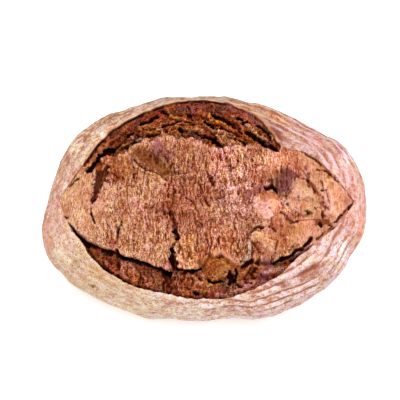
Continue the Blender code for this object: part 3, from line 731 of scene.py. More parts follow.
# The material's textures: size in millimetres, detail, roughness, and the scale along each axis
TEXTURES = {
    "fibres": (0.95, 2.0, 0.6, (1.0, 0.24, 0.6)),
    "specks": (1.1, 3.0, 0.6, (1, 1, 1)),
    "patches": (11.0, 4.0, 0.6, (1, 1, 1)),
    "clumps": (3.6, 3.0, 0.6, (1, 1, 1)),
    "dots": (0.75, 1.0, 0.5, (1, 1, 1)),
    "strands": (2.1, 2.0, 0.5, (1.0, 0.26, 0.6)),
    "yellow spots": (1.4, 1.0, 0.5, (1.0, 0.6, 0.7)),
    "yellow clouds": (3.4, 2.0, 0.5, (1.0, 0.6, 0.7)),
    "red clouds": (4.4, 2.0, 0.5, (1.0, 0.6, 0.7)),
    "streaks": (2.4, 3.0, 0.5, (0.32, 0.32, 1.0)),
    "crust hue": (9.0, 2.0, 0.5, (1, 1, 1.4)),
}
# Changes of hue: the texture, and how red, green and blue follow it
CRUMB_HUES = (
    ("yellow spots", (0.0, 0.1, -0.7)),
    ("yellow clouds", (0.0, 0.1, -0.92)),
    ("red clouds", (-0.15, -0.25, 0.2)),
)
CRUST_HUE = (0.0, 0.1, -0.7)
FIBRE_SHARE = 0.48
GRAIN_MIDDLE = 0.51
# Spans: from a texture's or a stored value's low and high to what they stand for
FURROW_SPAN = (0.0, 0.06, 0.1, 0.01)
DASH_LIGHT = (0.2, 1.1)
THIN_STRIPE = (0.15, 0.85, -0.14, 0.46)
BROAD_STRIPE = (-1.0, -0.35, -0.36, 0.15)
BROAD_DASH = (0.15, 1.0)
TOAST_SPAN = (0.5, 0.36)
TOAST_DARK = 0.4
SPECK_SPAN = (0.43, 0.35)
TORN_SPAN = (0.3, 0.7)
ROUGHNESS_SPAN = (0.3, 0.7, 0.92, 0.7)
# Mottling by streaks, clumps, patches and specks: how soft its edges are, and how strong it is
MOTTLES = ((0.09, 0.12), (0.08, 0.14), (0.15, 0.08), (0.2, 0.2))
# The pale rim of the lips: its strength, how far outside them it lies, and its width
RIM_SHARE = 0.7
RIM_OUTSIDE = 0.7
RIM_WIDTH = 1.0
SHINE = 0.02
BUMP_STRENGTH = 0.9
BUMP_HEIGHT = 1.1
SPECK_BUMP = 0.2

# Regions of the raised crumb, in pixels of the photo: centre, half sizes, turn in degrees, strength, colour
TINTS = (
    ((112, 208), (56, 60), 0, 0.85, (201, 144, 112)),
    ((72, 208), (27, 38), 0, 0.85, (212, 159, 124)),
    ((143, 249), (32, 15), -15, 0.8, (200, 140, 102)),
    ((122, 168), (19, 16), 0, 0.8, (177, 110, 62)),
    ((192, 206), (24, 32), 0, 0.85, (180, 108, 78)),
    ((189, 160), (19, 18), 0, 0.7, (188, 120, 91)),
    ((232, 165), (27, 24), 0, 0.85, (226, 158, 129)),
    ((240, 196), (18, 26), 0, 0.85, (221, 157, 142)),
    ((222, 241), (22, 16), 0, 0.8, (206, 132, 92)),
    ((188, 252), (14, 18), 0, 0.9, (236, 166, 110)),
    ((278, 162), (21, 13), 0, 0.85, (222, 158, 125)),
    ((279, 205), (15, 13), 0, 0.85, (230, 163, 128)),
    ((300, 168), (16, 12), 0, 0.8, (204, 134, 110)),
    ((284, 178), (14, 12), 0, 0.7, (142, 86, 74)),
    ((299, 200), (17, 14), 0, 0.8, (212, 160, 121)),
    ((307, 223), (12, 4), 8, 0.7, (204, 130, 106)),
    ((284, 246), (9, 9), 0, 0.8, (222, 158, 112)),
    ((302, 238), (10, 6), 35, 0.7, (188, 120, 80)),
    ((338, 200), (18, 27), 0, 0.9, (206, 148, 129)),
    ((298, 235), (25, 14), 30, 0.85, (209, 144, 108)),
    ((158, 208), (16, 5), 0, 0.6, (156, 92, 72)),
    ((169, 182), (5, 28), 0, 0.55, (200, 114, 66)),
    ((150, 158), (20, 9), -30, 0.95, (130, 76, 42)),
    ((135, 147), (18, 8), 20, 0.8, (150, 96, 56)),
    ((159, 151), (9, 8), 0, 0.8, (130, 76, 66)),
)
# Regions of the low ground, in the same way
LOW_TINTS = (
    ((106, 265), (11, 9), 0, 0.9, (124, 58, 28)),
    ((130, 273), (13, 11), 0, 0.8, (188, 113, 63)),
    ((154, 280), (12, 10), 0, 0.85, (156, 100, 60)),
    ((190, 284), (24, 10), 0, 0.8, (197, 117, 72)),
    ((218, 266), (21, 10), 0, 0.95, (188, 117, 69)),
    ((252, 273), (14, 11), 0, 0.85, (178, 100, 58)),
    ((172, 128), (30, 8), 0, 0.8, (184, 108, 62)),
    ((124, 124), (16, 8), 30, 0.8, (134, 82, 52)),
    ((230, 132), (30, 9), -20, 0.85, (240, 132, 70)),
    ((240, 141), (20, 7), -10, 0.7, (206, 134, 86)),
    ((205, 107), (34, 6), 0, 0.5, (128, 72, 64)),
    ((248, 120), (16, 10), -35, 0.6, (191, 110, 80)),
)
# The most fibrous region: centre, half sizes, turn in degrees
UNEVEN_PLACE = ((14, 0), (46, 46), 0)
UNEVEN = 0.35
# Smooth regions: centre, half sizes, turn in degrees, strength
SMOOTH = (
    ((12, -54), (17, 9), 0, 0.7),
    ((80, 3), (17, 15), -25, 1.0),
    ((48, -10), (12, 12), 0, 1.0),
    ((106, -2), (19, 20), 0, 0.85),
    ((-98, -4), (26, 34), 0, 0.6),
    ((84, -26), (26, 13), 38, 0.8),
    ((50, -38), (11, 11), 0, 0.8),
    ((82, 24), (20, 13), -30, 0.75),
    ((60, 22), (18, 14), -10, 0.5),
    ((62, -22), (12, 10), 0, 0.6),
)
# Zones of the crust: direction and spread in degrees, rings, how far the rings' flour runs together,
# mottling, toasted parts, specks, rim, and colour
CRUST_ZONES = (
    (0, 14, 0.4, 1.0, 0.7, 0.2, 0.3, 0.2, (216, 166, 156)),
    (32, 20, 1.7, 0.1, 0.9, 0.4, 0.7, 0.3, (188, 146, 134)),
    (60, 16, 1.8, 0.0, 0.9, 0.6, 0.9, 0.8, (176, 130, 102)),
    (95, 24, 0.5, 0.0, 1.0, 0.3, 0.9, 1.0, (162, 140, 125)),
    (145, 26, 0.3, 0.0, 1.5, 0.6, 1.0, 0.6, (196, 160, 135)),
    (182, 14, 0.1, 0.0, 0.8, 0.1, 0.6, 0.2, (207, 163, 149)),
    (222, 26, 0.15, 0.0, 0.55, 0.05, 1.2, 0.15, (215, 183, 155)),
    (262, 22, 0.4, 0.6, 0.9, 0.25, 0.8, 0.3, (220, 194, 178)),
    (300, 22, 1.5, 1.0, 1.15, 0.5, 0.9, 0.2, (213, 172, 156)),
    (330, 18, 1.5, 1.0, 1.1, 0.4, 0.5, 0.2, (208, 170, 156)),
)
# Patches of the crust, in pixels of the photo: centre, half sizes, turn in degrees, strength, colour
CRUST_TINTS = (
    ((47, 235), (6, 22), 10, 0.8, (216, 160, 138)),
    ((65, 250), (12, 20), 25, 0.6, (226, 200, 180)),
    ((76, 264), (6, 6), 0, 0.7, (184, 146, 116)),
    ((95, 273), (15, 5), -35, 0.7, (212, 170, 130)),
    ((93, 286), (4, 1.5), -15, 0.9, (120, 90, 66)),
    ((120, 305), (16, 6), -18, 0.6, (230, 204, 184)),
    ((62, 168), (6, 15), 20, 0.7, (186, 134, 104)),
    ((110, 118), (17, 6), 32, 0.7, (150, 112, 76)),
    ((100, 137), (7, 4), 45, 0.7, (232, 206, 176)),
    ((76, 150), (8, 10), 30, 0.5, (214, 182, 150)),
    ((280, 120), (16, 5), -24, 0.7, (196, 140, 88)),
    ((273, 131), (24, 5), -42, 0.9, (150, 98, 86)),
    ((316, 142), (10, 6), -30, 0.6, (206, 148, 136)),
    ((345, 160), (9, 10), -50, 0.6, (226, 196, 190)),
    ((322, 168), (18, 3), -42, 0.6, (216, 170, 140)),
    ((332, 167), (9, 2), -52, 0.45, (244, 220, 204)),
    ((361, 228), (4, 18), 0, 0.7, (226, 150, 130)),
    ((341, 250), (13, 9), 40, 0.8, (226, 200, 192)),
    ((313, 271), (15, 7), 30, 0.8, (168, 108, 86)),
    ((286, 284), (6, 6), 20, 0.6, (176, 118, 96)),
    ((293, 259), (20, 3), 33, 0.8, (186, 134, 124)),
)
# Shades of the crust's colour, from its brown hollows to its thickest flour
CRUST_SHADES = (
    (0.1, (0.62, 0.4, 0.34)),
    (0.3, (0.84, 0.6, 0.54)),
    (0.45, (0.98, 0.9, 0.8)),
    (0.6, (1.06, 1.13, 1.14)),
    (0.85, (1.2, 1.48, 1.82)),
)
# Radius of the cylinder on which the flour's streaks are laid out
COURSE_RADIUS = 100.0

# Camera and light: the studio's light on the floor is EXPOSURE times what shows as white
EXPOSURE = 1.28
WORLD_LIGHT = 0.98
KEY_PLACE = (0.12, 0.28, 1.35)
KEY_TARGET = (0, 0, 0.05)
KEY_SIZE = 1.0
KEY_WATTS = 19.5
FLOOR_GLOW = 0.22
FLOOR_SIZE = 8
FLOOR_COLOUR = (0.97, 0.97, 0.97)
FLOOR_ROUGHNESS = 0.9
CAMERA_ELEVATION = 78.0
CAMERA_DISTANCE = 1000.0
CAMERA_LENS = 110.0
CAMERA_TARGET = (-3.3, 6.7, 34.0)
FILM_WIDTH = 36.0
# The photo's width and height in pixels
FRAME = 400
# Millimetres on the torn top for each pixel, half the width of the thinnest mark, and the depth and half
# width below which a mark has gaps
PIXEL = 0.78
THINNEST = 0.4
SHALLOW = 2.6
# How often a ray's meeting with the surface is guessed again, how much of the last guess is kept, and
# how much the surface is smoothed for it
RAY_STEPS = 40
RAY_KEPT = 0.6
SURFACE_BLUR = 1.5

# Large numbers and shifts that scatter a cell's number all over the range of the mask
HASH_PRIMES = (374761393, 668265263, 2246822519)
HASH_SEED = 1013904223
HASH_TURNS = ((15, 739982445), (12, 695872825))
HASH_SHIFT = 15
HASH_MASK = 0xFFFFFFFF


def hashed(seed, cells):
    """A repeatable number from 0 to 1 for each cell."""
    key = np.int64(seed * HASH_SEED & HASH_MASK)
    for cell, prime in zip(cells, HASH_PRIMES):
        key = (key + cell * prime) & HASH_MASK
    for shift, factor in HASH_TURNS:
        key = ((key ^ (key >> shift)) * factor) & HASH_MASK
    return (key ^ (key >> HASH_SHIFT)) / HASH_MASK


def noise(seed, *axes):
    """Smooth noise from -1 to 1, with one array for each axis and cells 1 wide."""
    cells = [np.floor(axis).astype(np.int64) for axis in axes]
    fades = []
    for axis, cell in zip(axes, cells):
        part = axis - cell
        fades.append(part**3 * (part * (part * 6 - 15) + 10))
    total = 0.0
    for corner in itertools.product((0, 1), repeat=len(axes)):
        weight = 1.0
        for fade, step in zip(fades, corner):
            weight = weight * (fade if step else 1 - fade)
        at_corner = hashed(seed, [cell + step for cell, step in zip(cells, corner)])
        total = total + weight * (2 * at_corner - 1)
    return total


def layered(seed, size, octaves, *axes):
    """Noise whose largest forms are size wide, with each octave half as wide and half as strong."""
    total = 0.0
    for octave in range(octaves):
        total = total + noise(seed + octave, *(axis / size * 2**octave for axis in axes)) / 2**octave
    return total


def ridged(seed, crest, slope, *axes):
    """Thin ridges as high as the crest along the noise's zero lines, with hollows between them."""
    return crest - slope * np.abs(noise(seed, *axes))


def layer(name, *axes):
    """One of the named noises, as strong as its row says."""
    seed, size, octaves, strength = NOISES[name]
    return strength * layered(seed, size, octaves, *axes)


def pits(seed, spacing, x, y):
    """1 inside scattered round pits and 0 outside, with a pit of its own size near each cell's middle."""
    cell_x = np.floor(x / spacing).astype(np.int64)
    cell_y = np.floor(y / spacing).astype(np.int64)
    deepest = np.zeros(x.shape)
    for step_x, step_y in itertools.product((-1, 0, 1), repeat=2):
        cell = (cell_x + step_x, cell_y + step_y)
        across, up, size = (hashed(seed + turn, cell) for turn in range(3))
        centre_x = (cell[0] + PIT_PLACE[0] + PIT_PLACE[1] * across) * spacing
        centre_y = (cell[1] + PIT_PLACE[0] + PIT_PLACE[1] * up) * spacing
        radius = spacing * (PIT_SIZE[0] + PIT_SIZE[1] * size**2)
        distance = np.hypot(x - centre_x, y - centre_y) / radius
        deepest = np.maximum(deepest, 1 - smooth(*PIT_EDGE, distance))
    return deepest


def smooth(low, high, value):
    """0 below low, 1 above high, and a smooth ramp between them."""
    share = np.clip((value - low) / (high - low), 0, 1)
    return share * share * (3 - 2 * share)


def bell(distance, width):
    """1 at no distance, falling to 0 over a few widths."""
    return np.exp(-((distance / width) ** 2))


def along_loaf(points, x):
    """The value at x, in straight lines between points (x, value)."""
    return np.interp(x, *zip(*points))


def curve(points, x):
    """A smooth curve y(x) through points that run from left to right."""
    knots = np.array(points, float)
    slopes = np.gradient(knots[:, 1], knots[:, 0])
    inside = np.clip(x, knots[0, 0], knots[-1, 0])
    index = np.clip(np.searchsorted(knots[:, 0], inside) - 1, 0, len(knots) - 2)
    span = knots[index + 1, 0] - knots[index, 0]
    share = (inside - knots[index, 0]) / span
    rise = knots[index + 1, 1] - knots[index, 1]
    start = slopes[index] * span - rise
    end = rise - slopes[index + 1] * span
    return knots[index, 1] + share * rise + share * (1 - share) * ((1 - share) * start + share * end)


def between_ends(points, x, outside):
    """The smooth curve through the points, and the value outside it before its first and after its last."""
    beyond = (x < points[0][0]) | (x > points[-1][0])
    return np.where(beyond, outside, curve(points, x))


def below(edge_y, x, y):
    """How far a point lies in front of an edge y(x), measured across the edge."""
    slope = np.gradient(edge_y, x[0], axis=1)
    return (edge_y - y) / np.sqrt(1 + np.minimum(slope**2, STEEPEST_EDGE))


def stroke(points, x, y):
    """Distance to a line of points, the share along it, and the signed distance, plus on its left."""
    knots = np.array(points, float)
    steps = np.diff(knots, axis=0)
    lengths = np.hypot(steps[:, 0], steps[:, 1])
    done = np.concatenate([[0], np.cumsum(lengths)])
    best = np.full(x.shape, np.inf)
    along = np.zeros(x.shape)
    signed = np.zeros(x.shape)
    for knot, step, length, start in zip(knots, steps, lengths, done):
        dx = x - knot[0]
        dy = y - knot[1]
        share = np.clip((dx * step[0] + dy * step[1]) / length**2, 0, 1)
        distance = np.hypot(dx - share * step[0], dy - share * step[1])
        side = np.sign(step[0] * dy - step[1] * dx)
        nearer = distance < best
        best = np.where(nearer, distance, best)
        along = np.where(nearer, (start + share * length) / done[-1], along)
        signed = np.where(nearer, distance * side, signed)
    return best, along, signed


def spot(centre, half_sizes, turn, x, y, edge, wobble=0.0):
    """1 inside a turned oval down to 0 past its edge, which the wobble makes uneven."""
    angle = math.radians(turn)
    dx = x - centre[0]
    dy = y - centre[1]
    across = dx * math.cos(angle) + dy * math.sin(angle)
    up = dy * math.cos(angle) - dx * math.sin(angle)
    return 1 - smooth(*edge, np.hypot(across / half_sizes[0], up / half_sizes[1]) + wobble)


def linear(colour):
    """A colour from 0 to 255 as the light that it stands for."""
    share = np.array(colour, float) / 255
    return np.where(share <= 0.04045, share / 12.92, ((share + 0.055) / 1.055) ** 2.4) / EXPOSURE


def blend(tone, colour, share):
    """The tone turned towards a colour by a share of 0 to 1 at each point."""
    return tone + (linear(colour) - tone) * share[..., None]


def outline(angle):
    """Distance from the middle to the outline, seen from above."""
    radius = (
        np.abs(np.cos(angle) / HALF_LENGTH) ** OUTLINE_POWER
        + np.abs(np.sin(angle) / HALF_WIDTH) ** OUTLINE_POWER
    ) ** (-1 / OUTLINE_POWER)
    for direction, out, spread in OUTLINE_SWELLS:
        radius = radius + out * bell(turned_from(direction, angle), spread)
    return radius


def turned_from(direction, angle):
    """How many degrees an angle lies to the left of a direction, from -180 to 180."""
    return (np.degrees(angle) - direction + 180) % 360 - 180


def dome(share):
    """Height of the crust, share of the way from the middle to the outline."""
    return WIDEST_Z + DOME_RISE * np.maximum(1 - share**DOME_POWER, 0) ** (1 / DOME_POWER)


def edges(x, y):
    """The raster with how far each of its points lies inside the lips and inside the raised crumb."""
    ragged = layer("ragged", x, y)
    bent = layer("bent", x, y)
    back_lip = curve(BACK_LIP, x)
    front_lip = curve(FRONT_LIP, x)
    crumb_back = between_ends(CRUMB_BACK, x, back_lip + PAST_LIP)
    crumb_front = between_ends(CRUMB_FRONT, x, front_lip - PAST_LIP)
    from_back_lip = below(back_lip, x, y) + LIP_RAGGED * ragged
    from_front_lip = -below(front_lip, x, y) + LIP_RAGGED * ragged
    in_from_back = below(crumb_back, x, y) + BACK_EDGE_BENT * bent + BACK_EDGE_RAGGED * ragged
    in_from_front = -below(crumb_front, x, y) + FRONT_EDGE_BENT * bent + FRONT_EDGE_RAGGED * ragged
    inside = np.minimum(in_from_back, in_from_front)
    return SimpleNamespace(
        x=x,
        y=y,
        ragged=ragged,
        from_back_lip=from_back_lip,
        from_front_lip=from_front_lip,
        from_lip=np.minimum(from_back_lip, from_front_lip),
        in_from_front=in_from_front,
        inside=inside,
        is_back=y > (crumb_back + crumb_front) / 2,
        floor=smooth(*(WALL_WIDTH * share for share in FLOOR_RAMP), from_back_lip),
        raised=smooth(*RAISED_RAMP, inside),
    )


def groove_height(top):
    """The craggy groove behind the crumb: a wall down from the lip, a floor, and ledges."""
    wall = smooth(0, 1, top.from_back_lip / WALL_WIDTH)
    along = top.x / LEDGE_LENGTH
    across = top.from_back_lip / LEDGE_WIDTH + LEDGE_RAGGED * top.ragged
    ledges = ridged(LEDGE_SEEDS[0], *LEDGE_RIDGE, along, across)
    finer = (along * LEDGES_FINER[0], across * LEDGES_FINER[1])
    ledges = ledges + SMALL_LEDGES * ridged(LEDGE_SEEDS[1], *LEDGE_RIDGE, *finer)
    groove = -LIP_DROP - (WALL_DEPTH - LIP_DROP) * wall - (GROOVE_DEPTH - WALL_DEPTH) * top.floor
    return groove + LEDGE_HEIGHT * (LEDGES_ON_WALL + (1 - LEDGES_ON_WALL) * top.floor) * (ledges - 0.5)


def strip_height(top):
    """The sloping strip in front of the crumb, with a trench where the two meet."""
    to_crumb = top.from_front_lip / np.maximum(top.from_front_lip - top.in_from_front, 1.0)
    at_crumb = along_loaf(STRIP_DEPTHS_AT_CRUMB, top.x)
    strip = -STRIP_DEPTH_AT_LIP - (at_crumb - STRIP_DEPTH_AT_LIP) * np.clip(to_crumb, 0, 1)
    strip = strip + layer("strip", top.x, top.y)
    return strip - along_loaf(TRENCH, top.x) * bell(top.in_from_front, TRENCH_WIDTH)


def evenness_of(top):
    """How even the surface is: 1 where it is smooth, and below 0 where it is most fibrous."""
    evenness = -UNEVEN * spot(*UNEVEN_PLACE, top.x, top.y, UNEVEN_EDGE)
    for *place, strength in SMOOTH:
        near = spot(*place, top.x, top.y, SMOOTH_EDGE, SMOOTH_RAGGED * top.ragged)
        evenness = evenness + (strength - evenness) * near
    return evenness


def crumb_relief(top, evenness):
    """The raised crumb's fine relief, and its fibres and creases by themselves."""
    x, y = top.x, top.y
    across = x + layer("fibre sway", x, y) + layer("fibre wave across", x, y)
    along = y + layer("fibre wave along", x, y)
    fibres = ridged(FIBRE_SEEDS[0], *FIBRE_RIDGE, across / FIBRE_WIDTH, along / FIBRE_LENGTH)
    leaning = (across + FIBRE_LEAN * along) / FIBRE_WIDTH
    finer = (leaning * LEANING_FINER[0], along / FIBRE_LENGTH * LEANING_FINER[1])
    fibres = fibres + LEANING_FIBRES * ridged(FIBRE_SEEDS[1], *FIBRE_RIDGE, *finer)
    flakes = noise(FLAKE_SEED, across / FLAKE_SIZE, y / FLAKE_SIZE / FLAKE_STRETCH)
    flakes = flakes + layer("small flakes", x, y * FLAKE_SHORTER)
    flakes = flakes * FLAKE_STEPS - np.floor(flakes * FLAKE_STEPS)
    flakes = smooth(0, FLAKE_EDGE, flakes) * smooth(1, FLAKE_EDGE, flakes)
    creases = bell(noise(CREASE_SEED, across / CREASE_WIDTH, along / CREASE_LENGTH), CREASE_SHARPNESS)
    creases = creases * smooth(*CREASE_RAMP, layer("where creases are", x, y))
    holes = pits(PIT_SEED, PIT_SPACING, x + PIT_RAGGED * top.ragged, along)
    fine = FIBRE_HEIGHT * fibres + layer("grain", x, y) + FLAKE_HEIGHT * (flakes - 0.5)
    fine = (fine - CREASE_DEPTH * creases) * (1 - evenness)
    return fine - PIT_DEPTH * holes * (1 - PIT_CALM * evenness), fibres, creases


def crumb_height(top, fine):
    """The raised crumb: its swell, the drop to its edge, the seam along the lip, and its fine relief."""
    crumb = CRUMB_SWELL * smooth(*SWELL_RAMP, top.from_lip) + layer("crumb swell", top.x, top.y)
    drop = EDGE_DROP * np.exp(-np.maximum(top.inside, 0) / EDGE_REACH)
    crumb = crumb - drop * smooth(*EDGE_RAMP, top.from_lip)
    seam = bell(top.from_lip, SEAM_WIDTH) * smooth(*SEAM_RAMP, top.inside)
    crumb = crumb * smooth(*LIP_RAMP, top.from_lip) - SEAM_DEPTH * seam
    sooner = GRAIN_SOONER * smooth(*SOONER_RAMP, top.x)
    return crumb + fine * smooth(*GRAIN_LIP_RAMP, top.from_lip) * smooth(*GRAIN_RAMP, top.inside + sooner)


def low_height(top, evenness):
    """The groove and the strip, with their grain."""
    x, y = top.x, top.y
    grain = layer("low lumps", x, y) + layer("low grain", x, y)
    grain = grain - PIT_DEPTH * pits(LOW_PIT_SEED, PIT_SPACING * LOW_PITS, x, y)
    grain = grain * (1 - LOW_CALM * np.maximum(evenness, 0))
    height = np.where(top.is_back, groove_height(top), strip_height(top))
    return height + grain * smooth(*LOW_GRAIN_RAMP, top.from_lip)


def large_marks(height, top):
    """The height with its steps and lumps."""
    x, y, ragged = top.x, top.y, top.ragged
    for points, drop, reach in STEPS:
        distance, _, signed = stroke(points, x + STEP_RAGGED * ragged, y + STEP_RAGGED * ragged)
        height = height - drop * smooth(*STEP_RAMP, signed) * (1 - smooth(0, 1, distance / reach))
    for *place, rise in LUMPS:
        height = height + rise * spot(*place, x, y, LUMP_EDGE, SPOT_RAGGED * ragged)
    return height


def ground_tone(top):
    """The colour of the groove, the strip and the raised crumb before anything is drawn on them."""
    x, y = top.x, top.y
    tone = np.where(top.is_back[..., None], blend(linear(WALL), FLOOR, top.floor), linear(STRIP))
    for name, slopes in (("low yellow", LOW_SLOPES), ("low light", TONE_SLOPES), ("low olive", OLIVE_SLOPES)):
        tone = changed(tone, layer(name, x, y), slopes)
    under = SHADE_UNDER_CRUMB * np.exp(-np.maximum(-top.inside, 0) / SHADE_REACH)
    tone = changed(tone, -under * np.where(top.is_back, SHADE_BEHIND, 1.0), TONE_SLOPES)
    return blend(tone, CRUMB, top.raised)


def changed(tone, amount, slopes):
    """The tone made lighter or darker, with red, green and blue each following the amount by its slope."""
    return tone * np.exp(amount[..., None] * slopes)


def tinted(tone, top, surface):
    """The tone with the colour of each region of the raised crumb and of the low ground."""
    for tints, where in ((TINTS, top.raised), (LOW_TINTS, 1 - top.raised)):
        for *place, strength, colour in tints:
            near = spot(*on_surface(place, surface), top.x, top.y, TINT_EDGE, SPOT_RAGGED * top.ragged)
            tone = blend(tone, colour, strength * near * where)
    return tone


def lip_shadow_line(top):
    """The painted shadow line just inside the lips: 1 where it is strongest."""
    line = np.where(top.is_back, along_loaf(BACK_LINE, top.x), along_loaf(FRONT_LINE, top.x))
    from_line = top.from_lip - np.where(top.is_back, BACK_LINE_INSIDE, FRONT_LINE_INSIDE)
    line = line * (1 - top.raised) * bell(from_line, LINE_WIDTH)
    return line * smooth(*LINE_RAMP, layer("line gaps", top.x, top.y))


def relief(x, y):
    """The torn top on a raster of points: its height over the dome, its colour, and where it is torn."""
    top = edges(x, y)
    evenness = evenness_of(top)
    fine, fibres, creases = crumb_relief(top, evenness)
    height = low_height(top, evenness)
    height = height + (crumb_height(top, fine) - height) * top.raised
    height = large_marks(height, top)

    opening = smooth(*OPENING_RAMP, top.from_lip)
    share = np.hypot(x, y) / outline(np.arctan2(y, x))
    surface = blurred(height * opening, SURFACE_BLUR) + dome(np.minimum(share, 1))
    tone = tinted(ground_tone(top), top, surface)
    # The line just inside the lips, cut a little in and painted near-black as a painted shadow
    line = lip_shadow_line(top)
    height = height - LINE_DEPTH * line
    tone = blend(tone, SHADOW_BLACK, line)
    draw_marks(height, tone, evenness, surface, top)

    # The loose fibres' tone, with painted shade in the creases
    loose = LOOSE_FIBRES * fibres + layer("loose", x, y * LOOSE_LONGER) - LOOSE_CREASES * creases * top.raised
    tone = shaded(tone, height, loose * (1 - LOOSE_CALM * evenness), evenness, top)
    tone = changed(tone, (SMOOTH_LIFT + ROUGH_LIFT * (1 - evenness)) * top.raised, TONE_SLOPES)
    lip = LIP_RISE * bell(np.minimum(top.from_lip, 0), LIP_WIDTH) * smooth(*LIP_RISE_RAMP, top.inside)
    return {
        "height": height * opening + lip * (1 - opening),
        "torn": opening,
        "raised": top.raised,
        "evenness": evenness,
        "from_lip": top.from_lip,
        "surface": surface,
        "red": tone[..., 0],
        "green": tone[..., 1],
        "blue": tone[..., 2],
    }


def raster_axes():
    """The raster's places along x and along y."""
    reaches = (HALF_LENGTH + RASTER_MARGIN, HALF_WIDTH + RASTER_MARGIN)
    return [np.arange(-reach, reach, RASTER_STEP) for reach in reaches]


def on_top(pixels, surface):
    """Where pixels (x, y, x, y and so on) lie on the surface, found by following the camera's rays to it."""
    pixels = np.array(pixels, float).reshape(-1, 2)
    focal = FRAME * CAMERA_LENS / FILM_WIDTH
    across = (pixels[:, 0] - FRAME / 2) / focal
    up = (FRAME / 2 - pixels[:, 1]) / focal
    elevation = math.radians(CAMERA_ELEVATION)
    sine = math.sin(elevation)
    cosine = math.cos(elevation)
    z = np.full(len(pixels), CAMERA_TARGET[2])
    for _ in range(RAY_STEPS):
        rise = z - CAMERA_TARGET[2]
        back = (up * CAMERA_DISTANCE - rise * (up * sine + cosine)) / (sine - up * cosine)
        depth = CAMERA_DISTANCE + back * cosine - rise * sine
        x = CAMERA_TARGET[0] + across * depth
        y = CAMERA_TARGET[1] + back
        z = RAY_KEPT * z + (1 - RAY_KEPT) * sampled(surface, x, y)
    return np.column_stack([x, y])


def on_surface(place, surface):
    """An oval of the photo, given in pixels, as one on the surface: centre, half sizes and turn."""
    centre, half_sizes, turn = place
    return on_top(centre, surface)[0], np.array(half_sizes) * PIXEL, turn


def nearness(points, widths, x, y, wander):
    """The part of the raster that a stroke reaches, and 1 on the stroke down to 0 past its edge."""
    pad = MARK_EDGE[1] * max(widths) + MARK_PAD
    low = points.min(axis=0) - pad
    high = points.max(axis=0) + pad
    rows = slice(*np.searchsorted(y[:, 0], (low[1], high[1])))
    columns = slice(*np.searchsorted(x[0], (low[0], high[0])))
    part = (rows, columns)
    distance, along, _ = stroke(points, x[part] + wander[0][part], y[part] + wander[1][part])
    width = (widths[0] + (widths[1] - widths[0]) * along) * wander[2][part]
    return part, 1 - smooth(*MARK_EDGE, distance / width)


def mark_wander(top):
    """How the marks' strokes wander across x and y and in width, calmer near the crumb's front edge."""
    calm = 1 - WANDER_CALM * bell(top.in_from_front, WANDER_CALM_REACH)
    across, up, swell = (calm * layer(name, top.x, top.y) for name in ("wander x", "wander y", "mark width"))
    return across, up, 1 + swell


def softened(rise):
    """The height at which a crack is drawn."""
    return rise * CRACK_SHARE if rise > DEEPEST_SOFTENED else rise


def draw_marks(height, tone, evenness, surface, top):
    """Draws every hole, crack, flake and patch into the height, the colour and the evenness."""
    wander = mark_wander(top)
    gaps = smooth(*GAPS_RAMP, layer("gaps", top.x, top.y))
    bumps = 1 + layer("bumps", top.x, top.y)
    cracks = [(points, widths, softened(rise)) for points, widths, rise in CRACKS]
    marks = [(*mark, *PATCH_LOOK) for mark in PATCHES]
    marks += [(*mark, *FLAKE_LOOK) for mark in FLAKES]
    # Painted shade: soft brown fringes round cracks and holes, dark brown cores in cracks, darker the deeper
    # they are, and near-black cores in holes
    marks += [(points, widths, 0.0, CRACK_SHADE_FRINGE, *CRACK_FRINGE_LOOK) for points, widths, _ in cracks]
    marks += [(points, widths, 0.0, HOLE_SHADE_FRINGE, *HOLE_FRINGE_LOOK) for points, widths, _ in HOLES]
    marks += [(*mark, CRACK_SHADE, min(DARKEST, SHADE_PER_DEPTH * -mark[2]), 0.0, 0.0) for mark in cracks]
    marks += [(*mark, SHADOW_BLACK, *HOLE_LOOK) for mark in HOLES]
    for pixels, widths, rise, colour, strength, firmness, evened in marks:
        points = on_top(pixels, surface)
        widths = [max(width * PIXEL, THINNEST) for width in ends(widths)]
        part, near = nearness(points, widths, top.x, top.y, wander)
        if -SHALLOW < rise < 0 and max(widths) < SHALLOW:
            near = near * gaps[part]
        height[part] += rise * near * (bumps[part] if rise > 0 else 1)
        filled = smooth(0, firmness, near) if firmness else smooth(*CORE_RAMP, near)
        tone[part] = blend(tone[part], colour, strength * filled)
        evenness[part] += np.maximum(evened - evenness[part], 0) * near * evened


def ends(widths):
    """A stroke's half widths at its first and last point, also where one number stands for both."""
    return widths if isinstance(widths, tuple) else (widths, widths)


def shaded(tone, height, loose, evenness, top):
    """Painted shade and highlight: the colour made darker and redder in the lows, and lighter on what stands
    proud.
    """
    x, y = top.x, top.y
    proud = height - blurred(height, GRAIN_BLUR)
    deep = height - blurred(height, EDGE_BLUR)
    # Painted shade in the hollows
    tone = blend(tone, CAVITY_SHADE, CAVITY_SHARE * smooth(*CAVITY_RAMP, -deep))
    # Painted highlight on what stands proud and painted shade on what lies low
    light = np.clip(TONE_FROM_HEIGHT * proud, *TONE_RANGE) + TONE_LOOSE * loose
    light = light * (1 - TONE_CALM * np.maximum(evenness, 0)) + layer("light clouds", x, y)
    light = np.where(light > 0, LIGHTEST * np.tanh(light / LIGHTEST), DARKEN * light)
    tone = changed(tone, light, TONE_SLOPES)
    tone = changed(tone, layer("warm", x, y), WARM_SLOPES)
    return changed(tone, layer("purple clouds", x, y) + layer("purple grain", x, y), PURPLE_SLOPES)


def blurred(raster, width):
    """The raster smoothed by a bell curve width wide."""
    rows, columns = (np.fft.fftfreq(count, RASTER_STEP) for count in raster.shape)
    passed = np.exp(-2 * (math.pi * width) ** 2 * (rows[:, None] ** 2 + columns[None, :] ** 2))
    return np.fft.ifft2(np.fft.fft2(raster) * passed).real


